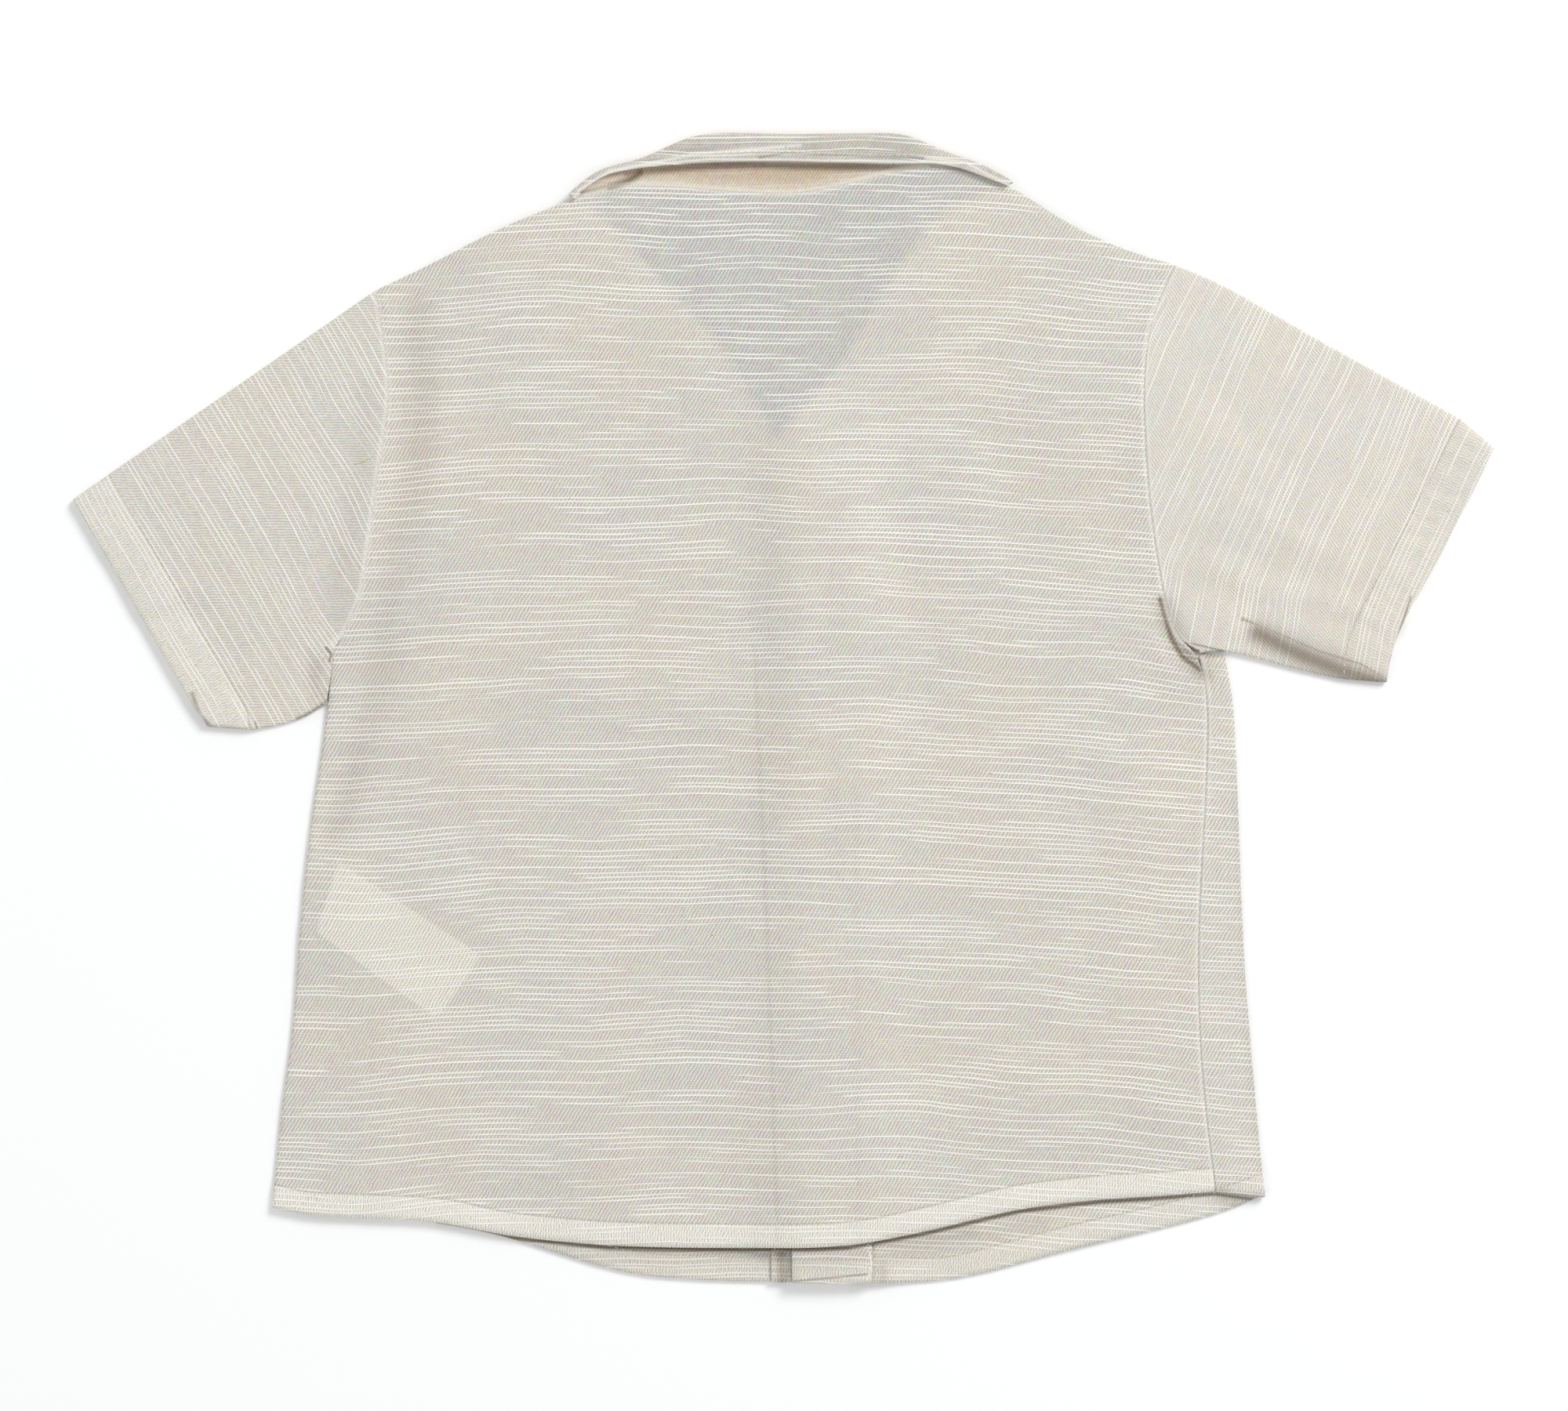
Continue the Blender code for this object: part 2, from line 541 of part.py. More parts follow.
def buttons(pile):
    """Dished buttons, face down on the floor, under the fronts' centre line."""
    reach = max(radius for radius, _ in BUTTON_PROFILE)
    thick = max(height for _, height in BUTTON_PROFILE)
    for k in range(BUTTON_COUNT):
        centre = (BUTTON_X, BUTTON_TOP_Y - k * BUTTON_SPACING)
        points, faces = [], []
        for radius, height in BUTTON_PROFILE:
            for n in range(BUTTON_SIDES):
                turn = 2 * math.pi * n / BUTTON_SIDES
                points.append((centre[0] + radius * math.cos(turn),
                               centre[1] + radius * math.sin(turn), height))
        for r in range(len(BUTTON_PROFILE) - 1):
            for n in range(BUTTON_SIDES):
                m = (n + 1) % BUTTON_SIDES
                faces.append([r * BUTTON_SIDES + n, r * BUTTON_SIDES + m,
                              (r + 1) * BUTTON_SIDES + m, (r + 1) * BUTTON_SIDES + n])
        last = (len(BUTTON_PROFILE) - 1) * BUTTON_SIDES
        faces.append(list(range(BUTTON_SIDES))[::-1])
        faces.append([last + n for n in range(BUTTON_SIDES)])
        solid(f"button_{k + 1}", [tuple(v * MM for v in p) for p in points], faces, "button")
        corners = [(centre[0] + reach * x, centre[1] + reach * y)
                   for x, y in ((-1, -1), (1, -1), (1, 1), (-1, 1))]
        square = quad_grid(corners, 3, 3)
        pile.add(np.dstack([square, np.full(square.shape[:2], thick)]))


def free_edge(x, bottom, roll_line, below, rows):
    """Up a front's free edge from its hem, then along the line where the lapel turns."""
    top = roll_line[0][1]
    straight = edge_points([(x, bottom), (x, top)], BODY_HEM, below, rounded=False)
    rolled = at_shares(smooth_line(roll_line), np.linspace(0, 1, rows - below + 1))
    return np.vstack([straight, rolled[1:]])


def front_left(pile):
    """The outer front, against the floor, and its facing on the inner side."""
    armhole = push(np.array(ARMHOLE_LEFT[UNDERARM_LEFT:], float), -SEAM_GAP / 2)
    seam = push(edge_points(SIDE_SEAM_LEFT, BODY_HEM, SIDE_ROWS), -SEAM_GAP / 2)
    left = np.vstack([seam, armhole])
    right = free_edge(EDGE_LEFT_X, FRONT_HEM_LEFT[-1][1], ROLL_LINE_LEFT, LEFT_EDGE_ROWS,
                      len(left))
    facing = 1 - (EDGE_LEFT_X - FACING_LEFT_X) / (EDGE_LEFT_X - SIDE_SEAM_LEFT[0][0])
    shares = [*np.linspace(0, facing, PANEL_COLUMNS),
              *np.linspace(facing, 1, FACING_COLUMNS + 1)[1:]]
    low = at_shares(smooth_line(FRONT_HEM_LEFT), shares)
    low[0], low[-1] = left[0], right[0]
    high = at_shares(smooth_line(SHOULDER_LEFT), shares)
    high[0], high[-1] = left[-1], right[-1]
    plan = coons(low, high, left, right)
    height = pile.lie_on(plan)
    outer = np.dstack([plan, height])
    thick = hem_walls(*plan.shape[:2])
    _, inner = wall("front_left", outer, thick, flip=True)
    pile.add(inner)
    covered = np.zeros((plan.shape[0] - 1, plan.shape[1] - 1), bool)
    covered[:LEFT_EDGE_ROWS - 1, -FACING_COLUMNS:] = True
    laid = inner + np.array([0, 0, SEAM_GAP])
    _, top = wall("facing_left", laid, CLOTH, cells=covered, flip=True)
    pile.add(top, covered)


def front_right_floor(pile):
    """Plan and heights of the inner front's layer against the floor, and its facing."""
    fold = edge_points(SIDE_FOLD_RIGHT, BODY_HEM, SIDE_ROWS)
    armhole = push(np.array(ARMHOLE_RIGHT[1:], float), SEAM_GAP / 2)
    right = np.vstack([fold, armhole])
    left = free_edge(EDGE_RIGHT_X, FRONT_HEM_RIGHT[0][1], ROLL_LINE_RIGHT, RIGHT_EDGE_ROWS,
                     len(right))
    facing = (FACING_RIGHT_X - EDGE_RIGHT_X) / (SIDE_FOLD_RIGHT[0][0] - EDGE_RIGHT_X)
    shares = [*np.linspace(0, facing, FACING_COLUMNS + 1),
              *np.linspace(facing, 1, PANEL_COLUMNS)[1:]]
    low = at_shares(smooth_line(FRONT_HEM_RIGHT), shares)
    low[0], low[-1] = left[0], right[0]
    high = at_shares(smooth_line(SHOULDER_RIGHT), shares)
    high[0], high[-1] = left[-1], right[-1]
    plan = coons(low, high, left, right)
    return plan, pile.lie_on(plan), len(fold)


def lay_front_right(pile):
    """Adds the inner front's lower layer to the pile, and makes its facing."""
    plan, height, folded = front_right_floor(pile)
    outer = np.dstack([plan, height])
    thick = hem_walls(*plan.shape[:2])
    cells = np.ones((plan.shape[0] - 1, plan.shape[1] - 1), bool)
    pile.add(outer + np.dstack([np.zeros_like(plan), thick]))
    covered = np.zeros_like(cells)
    covered[:RIGHT_EDGE_ROWS - 1, :FACING_COLUMNS] = True
    laid = inner_side(outer, thick, cells, flip=True) + np.array([0, 0, SEAM_GAP])
    _, top = wall("facing_right", laid, CLOTH, cells=covered, flip=True)
    pile.add(top, covered)
    return outer, thick, folded


def finish_front_right(pile, outer, thick, folded):
    """Wraps the inner front round the right side and back to the seam on top."""
    rows = outer.shape[0]
    edge = outer[:folded, -1, :2]
    seam = push(edge_points(SIDE_SEAM_RIGHT, BODY_HEM, folded), -SEAM_GAP / 2)
    inward = unit(seam - edge)
    strip = np.stack([edge, (edge + seam) / 2, seam], 1)
    lift = np.zeros(strip.shape[:2])
    lift[:2] = HEM_WALL - CLOTH
    top = pile.lie_on(strip, lofted=True) + CLOTH + lift
    top[:, 0] = fold_height(top[:, 0], thick[:folded, -1])
    ring = fold_round(edge, inward, top[:, 0])
    strip[:, 0] = edge + inward * (top[:, 0] / 2)[:, None]
    wrap = np.concatenate([ring[:, 1:-1], np.dstack([strip, top])], 1)
    outer = outer.copy()
    outer[:folded, -1] = ring[:, 0]
    spare = wrap.shape[1]
    full = np.concatenate([outer, np.repeat(outer[:, -1:], spare, 1)], 1)
    full[:folded, -spare:] = wrap
    cells = np.ones((rows - 1, full.shape[1] - 1), bool)
    cells[folded - 1:, -spare:] = False
    walls = np.concatenate([thick, np.repeat(thick[:, -1:], spare, 1)], 1)
    wall("front_right", full, walls, cells=cells, flip=True)


def sleeve(pile, name, armhole, hem, low_edge, top_edge, side, lay):
    """A sleeve as a flattened tube; lay=False only adds its lower layer to the pile."""
    end = push(np.array(armhole, float), side * SEAM_GAP / 2)
    low = edge_points(low_edge[::-1], SLEEVE_HEM, SLEEVE_ROWS)[::-1]
    high = edge_points(top_edge[::-1], SLEEVE_HEM, SLEEVE_ROWS)[::-1]
    cuff = at_shares(smooth_line(hem), shares_of(np.array(armhole, float)) * 0.5
                     + np.linspace(0, 1, len(armhole)) * 0.5)
    low[0], high[0] = end[0], end[-1]
    cuff[0], cuff[-1] = low[-1], high[-1]
    plan = coons(end, cuff, low, high)
    thick = np.full(plan.shape[:2], CLOTH)
    thick[-2:] = HEM_WALL
    if not lay:
        pile.add(np.dstack([plan, thick]))
        return
    top = pile.lie_on(plan, lofted=True) + thick
    for side_column in (0, -1):
        top[:, side_column] = fold_height(top[:, side_column], thick[:, side_column])
    round_low = fold_round(plan[:, 0], fold_directions(plan, 0, 1), top[:, 0])
    round_top = fold_round(plan[:, -1], fold_directions(plan, -1, -2), top[:, -1])
    upper = np.dstack([plan, top])
    upper[:, 0], upper[:, -1] = round_low[:, -1], round_top[:, -1]
    lower = upper.copy()
    lower[..., 2] = 0.0
    ring = np.concatenate([upper, round_top[:, -2:0:-1], lower[:, ::-1], round_low[:, 1:-1]], 1)
    folds = np.repeat(thick[:, :1], FOLD_STEPS - 1, 1)
    walls = np.concatenate([thick, folds, thick, folds], 1)
    wall(name, ring, walls, around=True, flip=side < 0)


def care_label(pile):
    plan = quad_grid(CARE_LABEL, 4, 5)
    under = pile.lie_on(plan)
    outer = np.dstack([plan, under + CLOTH])
    wall("care_label", outer, CLOTH, paint="label")
    pile.add(outer)


def back(pile):
    """The back, draped over the fronts, with its left edge wrapped to the underside."""
    fold = edge_points(SIDE_FOLD_LEFT, BODY_HEM, BACK_FOLD_ROWS)
    armhole = np.array(ARMHOLE_LEFT, float)
    left = np.vstack([fold, armhole[1:UNDERARM_LEFT],
                      push(armhole, -SEAM_GAP / 2)[UNDERARM_LEFT:]])
    folded = len(left) - len(armhole[UNDERARM_LEFT:])
    armhole = push(np.array(ARMHOLE_RIGHT, float), SEAM_GAP / 2)[UNDERARM_RIGHT:]
    seam = edge_points(SIDE_SEAM_RIGHT, BODY_HEM, len(left) - len(armhole))
    right = np.vstack([push(seam, SEAM_GAP / 2), armhole])
    parts = ((SHOULDER_LEFT, SHOULDER_PARTS, 0), (NECKLINE, NECK_PARTS, 1),
             (SHOULDER_RIGHT, SHOULDER_PARTS, 1))
    top_line = np.vstack([at_shares(smooth_line(line), np.linspace(0, 1, count + 1))[first:]
                          for line, count, first in parts])
    top_line[0], top_line[-1] = left[-1], right[-1]
    hem = at_shares(smooth_line(BACK_HEM), shares_of(top_line))
    hem[0], hem[-1] = left[0], right[0]
    plan = coons(hem, top_line, left, right)
    thick = hem_walls(*plan.shape[:2])
    height = pile.lie_on(plan, lofted=True) + thick
    main = np.dstack([plan, height])
    inward = square_to(plan[:folded, 0], plan[:folded, 1])
    ring = fold_round(plan[:folded, 0], inward, fold_height(height, thick)[:folded, 0])
    main[:folded, 0] = ring[:, -1]
    under_seam = smooth_line(SIDE_SEAM_LEFT)
    under = np.stack([np.interp(plan[:folded, 0, 1], under_seam[:, 1], under_seam[:, 0])
                      - SEAM_GAP / 2, plan[:folded, 0, 1]], 1)
    under = np.dstack([under[:, None], np.zeros((folded, 1))])
    wrap = np.concatenate([under, ring[:, :-1]], 1)
    spare = wrap.shape[1]
    full = np.concatenate([np.repeat(main[:, :1], spare, 1), main], 1)
    full[:folded, :spare] = wrap
    cells = np.ones((full.shape[0] - 1, full.shape[1] - 1), bool)
    cells[folded - 1:, :spare] = False
    walls = np.concatenate([np.repeat(thick[:, :1], spare, 1), thick], 1)
    wall("back", full, walls, cells=cells)
    return main[-1, SHOULDER_PARTS:SHOULDER_PARTS + NECK_PARTS + 1]


def collar(neck):
    """Stand, roll and fall of the collar behind the neck, from the back's neck edge up."""
    share = np.linspace(0, 1, COLLAR_STATIONS + 1)
    seam = at_shares(neck, np.interp(share, np.linspace(0, 1, len(neck)), shares_of(neck)))
    top = at_shares(smooth_line(COLLAR_TOP), share)
    edge = at_shares(smooth_line(COLLAR_EDGE_LINE), share)
    table = np.array(COLLAR_ROLL)
    roll = np.interp(share, table[:, 0], table[:, 1])
    lift = np.interp(share, table[:, 0], table[:, 2])
    rows = []
    for s in range(COLLAR_STATIONS + 1):
        out = unit(top[s] - seam[s, :2])
        base = seam[s, 2] - CLOTH / 2
        reach = np.linalg.norm(top[s] - seam[s, :2]) - CLOTH / 2
        drop = reach - float((edge[s] - seam[s, :2]) @ out)
        radius = min(roll[s], drop * ROLL_LIMIT)
        clear = CLOTH / 2 + COLLAR_EDGE / 2 + LAYER_GAP
        sink = max(0.0, min(base - CLOTH / 2, COLLAR_SINK * (reach - radius), 2 * radius - clear))
        foot = base - sink
        section = [(SEAM_GAP, base, CLOTH)]
        for part, down in COLLAR_STAND:
            section.append((max((reach - radius) * part, SEAM_GAP * 2), base - sink * down, CLOTH))
        for angle in np.radians([-90, -45, 0, 45, 90]):
            section.append((reach - radius + radius * math.cos(angle),
                            foot + radius * (1 + math.sin(angle)), CLOTH))
        high, run = foot + 2 * radius, drop - radius
        low = max(base + clear, foot + lift[s], high - FALL_SLOPE * run)
        for part, thick in COLLAR_FALL:
            thick = min(thick, CLOTH + EDGE_GROWTH * run)
            section.append((reach - radius - part * run, high + (low - high) * part ** FALL_POWER, thick))
        rows.append([(seam[s, 0] + out[0] * away, seam[s, 1] + out[1] * away, height, thick)
                     for away, height, thick in section])
    grid = np.array(rows)
    middle, thick = grid[..., :3], grid[..., 3]
    cells = np.ones((grid.shape[0] - 1, grid.shape[1] - 1), bool)
    wall("collar", inner_side(middle, -thick / 2, cells), thick)


def centre():
    """Puts the origin under the middle of the shirt, on the surface that it lies on."""
    meshes = [thing.data for thing in bpy.data.objects]
    points = np.array([vertex.co for mesh in meshes for vertex in mesh.vertices])
    low, high = points.min(0), points.max(0)
    middle = Vector(((low[0] + high[0]) / 2, (low[1] + high[1]) / 2, low[2]))
    for mesh in meshes:
        mesh.transform(Matrix.Translation(-middle))


def main():
    for thing in list(bpy.data.objects):
        bpy.data.objects.remove(thing, do_unlink=True)
    pile = Pile()
    turned_out(pile)
    buttons(pile)
    front_left(pile)
    inner_front = lay_front_right(pile)
    sleeves = (
        ("sleeve_left", ARMHOLE_LEFT, SLEEVE_HEM_LEFT, SLEEVE_LOW_LEFT, SLEEVE_TOP_LEFT, 1),
        ("sleeve_right", ARMHOLE_RIGHT[1:], SLEEVE_HEM_RIGHT, SLEEVE_LOW_RIGHT,
         SLEEVE_TOP_RIGHT, -1))
    for row in sleeves:
        sleeve(pile, *row, lay=False)
    care_label(pile)
    finish_front_right(pile, *inner_front)
    for row in sleeves:
        sleeve(pile, *row, lay=True)
    collar(back(pile))
    centre()


main()
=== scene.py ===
# %% [markdown]
# # A small child's shirt, laid flat on its front
#
# The shirt is cream cotton with thick white weft yarns, and it lies with its back up.
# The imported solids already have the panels, hems, collar and folds at their real size.
# Here each panel gets a finer copy with soft wrinkles, and then its weave, seams,
# stitches and colours. Left and right are the wearer's, so the left sleeve is at -X.

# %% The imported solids
import math
from functools import reduce

import bmesh
import bpy
import numpy as np
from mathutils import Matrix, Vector
from mathutils.bvhtree import BVHTree


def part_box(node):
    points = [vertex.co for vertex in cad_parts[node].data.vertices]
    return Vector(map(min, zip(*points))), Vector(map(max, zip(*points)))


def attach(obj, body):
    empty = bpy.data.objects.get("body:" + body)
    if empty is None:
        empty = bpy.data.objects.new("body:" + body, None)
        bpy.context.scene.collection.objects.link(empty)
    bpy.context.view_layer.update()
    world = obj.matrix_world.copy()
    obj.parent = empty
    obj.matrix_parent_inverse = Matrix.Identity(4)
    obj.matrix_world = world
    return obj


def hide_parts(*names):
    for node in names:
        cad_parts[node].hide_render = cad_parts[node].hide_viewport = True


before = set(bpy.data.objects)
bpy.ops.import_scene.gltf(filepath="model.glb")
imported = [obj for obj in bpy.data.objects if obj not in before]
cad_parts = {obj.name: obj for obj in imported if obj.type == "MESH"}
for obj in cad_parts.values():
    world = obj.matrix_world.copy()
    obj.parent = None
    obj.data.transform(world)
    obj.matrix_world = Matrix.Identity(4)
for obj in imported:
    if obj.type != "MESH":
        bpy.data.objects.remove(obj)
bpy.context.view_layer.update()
MM = 0.001

# %% [markdown]
# ## Places on the photograph
#
# The camera looks straight down, so a place on the photograph is a place on the floor.
# One scale and one middle point turn its pixels into millimetres, and every line that
# is drawn below, such as a crease or a seam, is written as a few of those pixels.

# %% From pixels to millimetres
IMAGE_SIZE = (2000, 1800)
PIXELS_PER_MM = 3.5
MIDDLE_PIXEL = (999.5, 902.5)


def on_floor(pixels):
    """Pixels of the photograph as millimetres in the frame, x and y."""
    p = np.array(pixels, float)
    return np.stack([p[..., 0] - MIDDLE_PIXEL[0], MIDDLE_PIXEL[1] - p[..., 1]], -1) / PIXELS_PER_MM


def dense(line, step=2.0):
    """The line with a point every few millimetres, rounded at its corners."""
    line = np.array(line, float)
    ends = np.vstack([2 * line[0] - line[1], line, 2 * line[-1] - line[-2]])
    out = []
    for a, b, c, d in zip(ends[:-3], ends[1:-2], ends[2:-1], ends[3:]):
        for t in np.linspace(0, 1, max(2, int(np.linalg.norm(c - b) / step)), endpoint=False):
            out.append(0.5 * (2 * b + (c - a) * t + (2 * a - 5 * b + 4 * c - d) * t ** 2
                              + (3 * b - a - 3 * c + d) * t ** 3))
    return np.array([*out, line[-1]])


def step_lengths(line):
    return np.linalg.norm(np.diff(line, axis=0), axis=1)


def directions(line):
    """The line's direction at each of its points."""
    along = np.gradient(line, axis=0)
    return along / np.linalg.norm(along, axis=1)[:, None]


def measured(line, xy):
    """For each point: the distance to the line, the share along it, and the side (left > 0)."""
    steps = step_lengths(line)
    start = np.concatenate([[0], np.cumsum(steps)])
    best = np.full(len(xy), 1e9)
    share, side = np.zeros(len(xy)), np.ones(len(xy))
    for k, (a, b) in enumerate(zip(line[:-1], line[1:])):
        ab = b - a
        t = np.clip((xy - a) @ ab / max(ab @ ab, 1e-9), 0, 1)
        off = xy - a - t[:, None] * ab
        away = np.linalg.norm(off, axis=1)
        near = away < best
        best[near] = away[near]
        share[near] = ((start[k] + t * steps[k]) / start[-1])[near]
        side[near] = np.sign(ab[0] * off[:, 1] - ab[1] * off[:, 0] + 1e-12)[near]
    return best, share, side


def smooth(low, high, value):
    t = np.clip((value - low) / (high - low), 0, 1)
    return t * t * (3 - 2 * t)


print("the photograph covers", [round(s / PIXELS_PER_MM) for s in IMAGE_SIZE], "mm")

# %% [markdown]
# ## Camera, floor and light
#
# The shirt was photographed from straight above in soft, even light on white. A camera
# far up with a long lens hardly widens what is nearer to it. One broad lamp at the top
# right gives the folds their faint shade, and a weak lamp and a pale sky fill the rest in.

# %% Camera
CAMERA_HEIGHT = 2.6     # m
SENSOR = 36.0           # mm
VIEW_LIMIT = 20         # m


def in_scene(name, data):
    """A new object that holds the data, linked into the scene."""
    thing = bpy.data.objects.new(name, data)
    bpy.context.scene.collection.objects.link(thing)
    return thing


camera_data = bpy.data.cameras.new("camera")
camera_data.sensor_width = SENSOR
camera_data.lens = SENSOR * CAMERA_HEIGHT / (IMAGE_SIZE[0] / PIXELS_PER_MM * MM)
camera_data.clip_end = VIEW_LIMIT
camera = in_scene("camera", camera_data)
camera.location = (*on_floor([side / 2 for side in IMAGE_SIZE]) * MM, CAMERA_HEIGHT)
bpy.context.scene.camera = camera
print("lens, mm:", round(camera_data.lens, 1))

# %% Floor
FLOOR_SIDE = 6.0        # m
FLOOR_COLOUR = (0.98, 0.98, 0.975)

floor_mesh = bpy.data.meshes.new("floor")
half = FLOOR_SIDE / 2
floor_mesh.from_pydata([(-half, -half, 0), (half, -half, 0), (half, half, 0), (-half, half, 0)],
                       [], [(0, 1, 2, 3)])
floor = in_scene("floor", floor_mesh)
floor_paint = bpy.data.materials.new("pale_floor")
floor_paint.use_nodes = True
floor_shader = floor_paint.node_tree.nodes["Principled BSDF"]
floor_shader.inputs["Base Color"].default_value = (*FLOOR_COLOUR, 1)
floor_shader.inputs["Roughness"].default_value = 0.95
floor_shader.inputs["Specular IOR Level"].default_value = 0.1
floor_mesh.materials.append(floor_paint)
print("floor laid")

# %% Lamps and sky
LAMPS = [  # name, place, side in metres, watts
    ("key_softbox", (1.9, 2.0, 2.6), 1.4, 74.0),
    ("fill_softbox", (-1.6, -0.8, 2.4), 2.0, 10.0),
]
SKY_STRENGTH = 0.63
SKY_COLOUR = (0.97, 0.985, 1.0)

for name, place, side, watts in LAMPS:
    lamp_data = bpy.data.lights.new(name, "AREA")
    lamp_data.shape = "SQUARE"
    lamp_data.size = side
    lamp_data.energy = watts
    lamp = in_scene(name, lamp_data)
    lamp.location = place
    lamp.rotation_euler = (-Vector(place)).to_track_quat("-Z", "Y").to_euler()
sky = bpy.data.worlds.new("pale_sky")
sky.use_nodes = True
sky_light = sky.node_tree.nodes["Background"]
sky_light.inputs["Color"].default_value = (*SKY_COLOUR, 1)
sky_light.inputs["Strength"].default_value = SKY_STRENGTH
bpy.context.scene.world = sky
bpy.context.scene.view_settings.view_transform = "Standard"
print("lamps:", len(LAMPS))

# %% [markdown]
# ## Lines of the shirt
#
# Hems, seams and creases are needed twice: to shape the cloth and to guide its colours
# and stitches. Each is a short list of pixels, read along the photograph.

# %% Hems, seams and show-through
BACK_HEM = dense(on_floor([(347, 1540), (390, 1549), (445, 1552), (560, 1558), (645, 1575),
                           (776, 1587), (949, 1590), (1083, 1586), (1178, 1570), (1300, 1541),
                           (1403, 1529), (1467, 1525), (1550, 1519)]))
FRONT_HEM = dense(on_floor([(405, 1542), (534, 1556), (664, 1582), (738, 1607), (796, 1624),
                            (872, 1631), (1018, 1635), (1109, 1635), (1197, 1634), (1240, 1627),
                            (1314, 1607), (1378, 1590), (1480, 1567), (1556, 1546), (1614, 1526)]))
SLEEVE_HEM_LEFT = dense(on_floor([(93, 636), (178, 781), (263, 927)]))
SLEEVE_HEM_RIGHT = dense(on_floor([(1905, 571), (1841, 699), (1779, 817), (1768, 871)]))
ARMHOLE_LEFT = dense(on_floor([(478, 371), (488, 425), (495, 481), (494, 531), (484, 593),
                               (475, 657), (468, 710), (459, 762), (440, 805), (424, 823)]))
ARMHOLE_RIGHT = dense(on_floor([(1499, 338), (1470, 400), (1460, 458), (1458, 514), (1461, 573),
                                (1465, 633), (1473, 692), (1482, 748), (1493, 794), (1508, 818),
                                (1530, 833)]))
SIDE_SEAM_RIGHT = dense(on_floor([(1550, 1519), (1540, 1434), (1533, 1370), (1528, 1250),
                                  (1530, 1140), (1536, 1050), (1539, 974), (1539, 878),
                                  (1530, 835)]))
NECK_SEAM = dense(on_floor([(734, 254), (767, 244), (802, 237), (853, 237), (930, 244), (1000, 247),
                            (1049, 242), (1092, 232), (1153, 216), (1192, 212), (1235, 220),
                            (1284, 236)]))
NECK_OPENING = [  # both edges of the fronts at the neck, upwards on the left, then the right
    dense(on_floor([(995, 575), (923, 456), (860, 384), (794, 308), (738, 258)])),
    dense(on_floor([(992, 565), (1061, 486), (1128, 384), (1195, 288), (1284, 240)]))]
LABEL_CORNERS = on_floor([(433, 1099), (404, 1188), (559, 1299), (614, 1218)])
print("hem round the back, mm:", round(float(step_lengths(BACK_HEM).sum())))

# %% Soft creases
CREASES = [  # width and height in mm, then the line; a trough has a height below zero
    (6.0, -1.00, [(530, 395), (533, 470), (529, 560), (519, 650), (508, 720)]),
    (5.0, -0.95, [(503, 800), (492, 860), (476, 920), (455, 965)]),
    (5.0, -0.55, [(447, 975), (436, 1020), (415, 1075), (399, 1119)]),
    (5.0, 0.55, [(500, 560), (488, 680), (466, 780), (452, 850)]),
    (5.0, 0.45, [(562, 420), (566, 520), (556, 640), (540, 760)]),
    (3.5, -0.80, [(1476, 768), (1486, 800), (1502, 828), (1532, 852)]),
    (4.0, 0.60, [(1462, 790), (1474, 830), (1500, 866), (1528, 880)]),
    (4.5, -0.50, [(1500, 906), (1440, 925), (1380, 938)]),
    (5.0, 0.40, [(1490, 950), (1430, 960), (1370, 966)]),
    (5.0, -0.45, [(1440, 560), (1425, 640), (1418, 740)]),
    (5.0, 0.75, [(1486, 716), (1552, 727), (1601, 752), (1644, 760), (1719, 778), (1800, 806)]),
    (5.0, -0.55, [(1500, 690), (1570, 700), (1640, 728), (1720, 748)]),
    (4.5, -0.80, [(1583, 790), (1640, 812), (1700, 838), (1763, 860)]),
    (4.0, 0.50, [(1560, 620), (1640, 680), (1720, 715)]),
    (4.0, -0.45, [(1530, 480), (1600, 560), (1660, 600)]),
    (4.0, 0.45, [(1812, 640), (1776, 700), (1730, 780)]),
    (4.0, -0.60, [(440, 700), (390, 760), (350, 820), (310, 880)]),
    (3.5, 0.55, [(430, 760), (385, 820), (350, 880)]),
    (3.5, -0.60, [(402, 830), (392, 862), (404, 886)]),
    (4.0, 0.50, [(165, 772), (205, 762), (262, 745)]),
    (3.5, -0.50, [(180, 800), (220, 790), (280, 782)]),
    (4.0, 0.40, [(300, 520), (250, 590), (215, 660)]),
    (4.0, -0.40, [(360, 480), (320, 560), (290, 640)]),
    (6.0, 0.40, [(880, 300), (930, 420), (975, 560)]),
    (6.0, -0.40, [(1110, 300), (1075, 400), (1030, 520)]),
    (6.0, -0.35, [(960, 330), (1040, 345), (1110, 335)]),
    (7.0, 0.45, [(620, 480), (700, 560), (760, 700)]),
    (7.0, -0.40, [(1240, 480), (1290, 620), (1300, 800)]),
    (8.0, 0.45, [(640, 1180), (760, 1230), (880, 1250)]),
    (7.0, -0.45, [(600, 900), (720, 925), (860, 930)]),
    (8.0, -0.45, [(1180, 1130), (1280, 1180), (1400, 1190)]),
    (6.0, 0.50, [(600, 1470), (760, 1500), (900, 1508)]),
    (6.0, -0.45, [(1120, 1500), (1260, 1480), (1400, 1470)]),
]
COLLAR_FOLDS = [
    (1.5, -0.55, [(765, 219), (822, 203), (891, 195), (949, 189), (1000, 184)]),
    (2.0, 0.45, [(765, 224), (822, 210), (891, 203), (949, 198), (1060, 202), (1180, 208)]),
    (1.3, -0.50, [(968, 203), (1000, 197), (1060, 197), (1120, 200), (1180, 204)]),
    (1.3, -0.35, [(800, 208), (880, 200), (940, 195)]),
    (2.0, 0.35, [(880, 178), (1000, 176), (1150, 180)]),
    (1.6, -0.30, [(1180, 196), (1230, 206), (1280, 226)]),
]
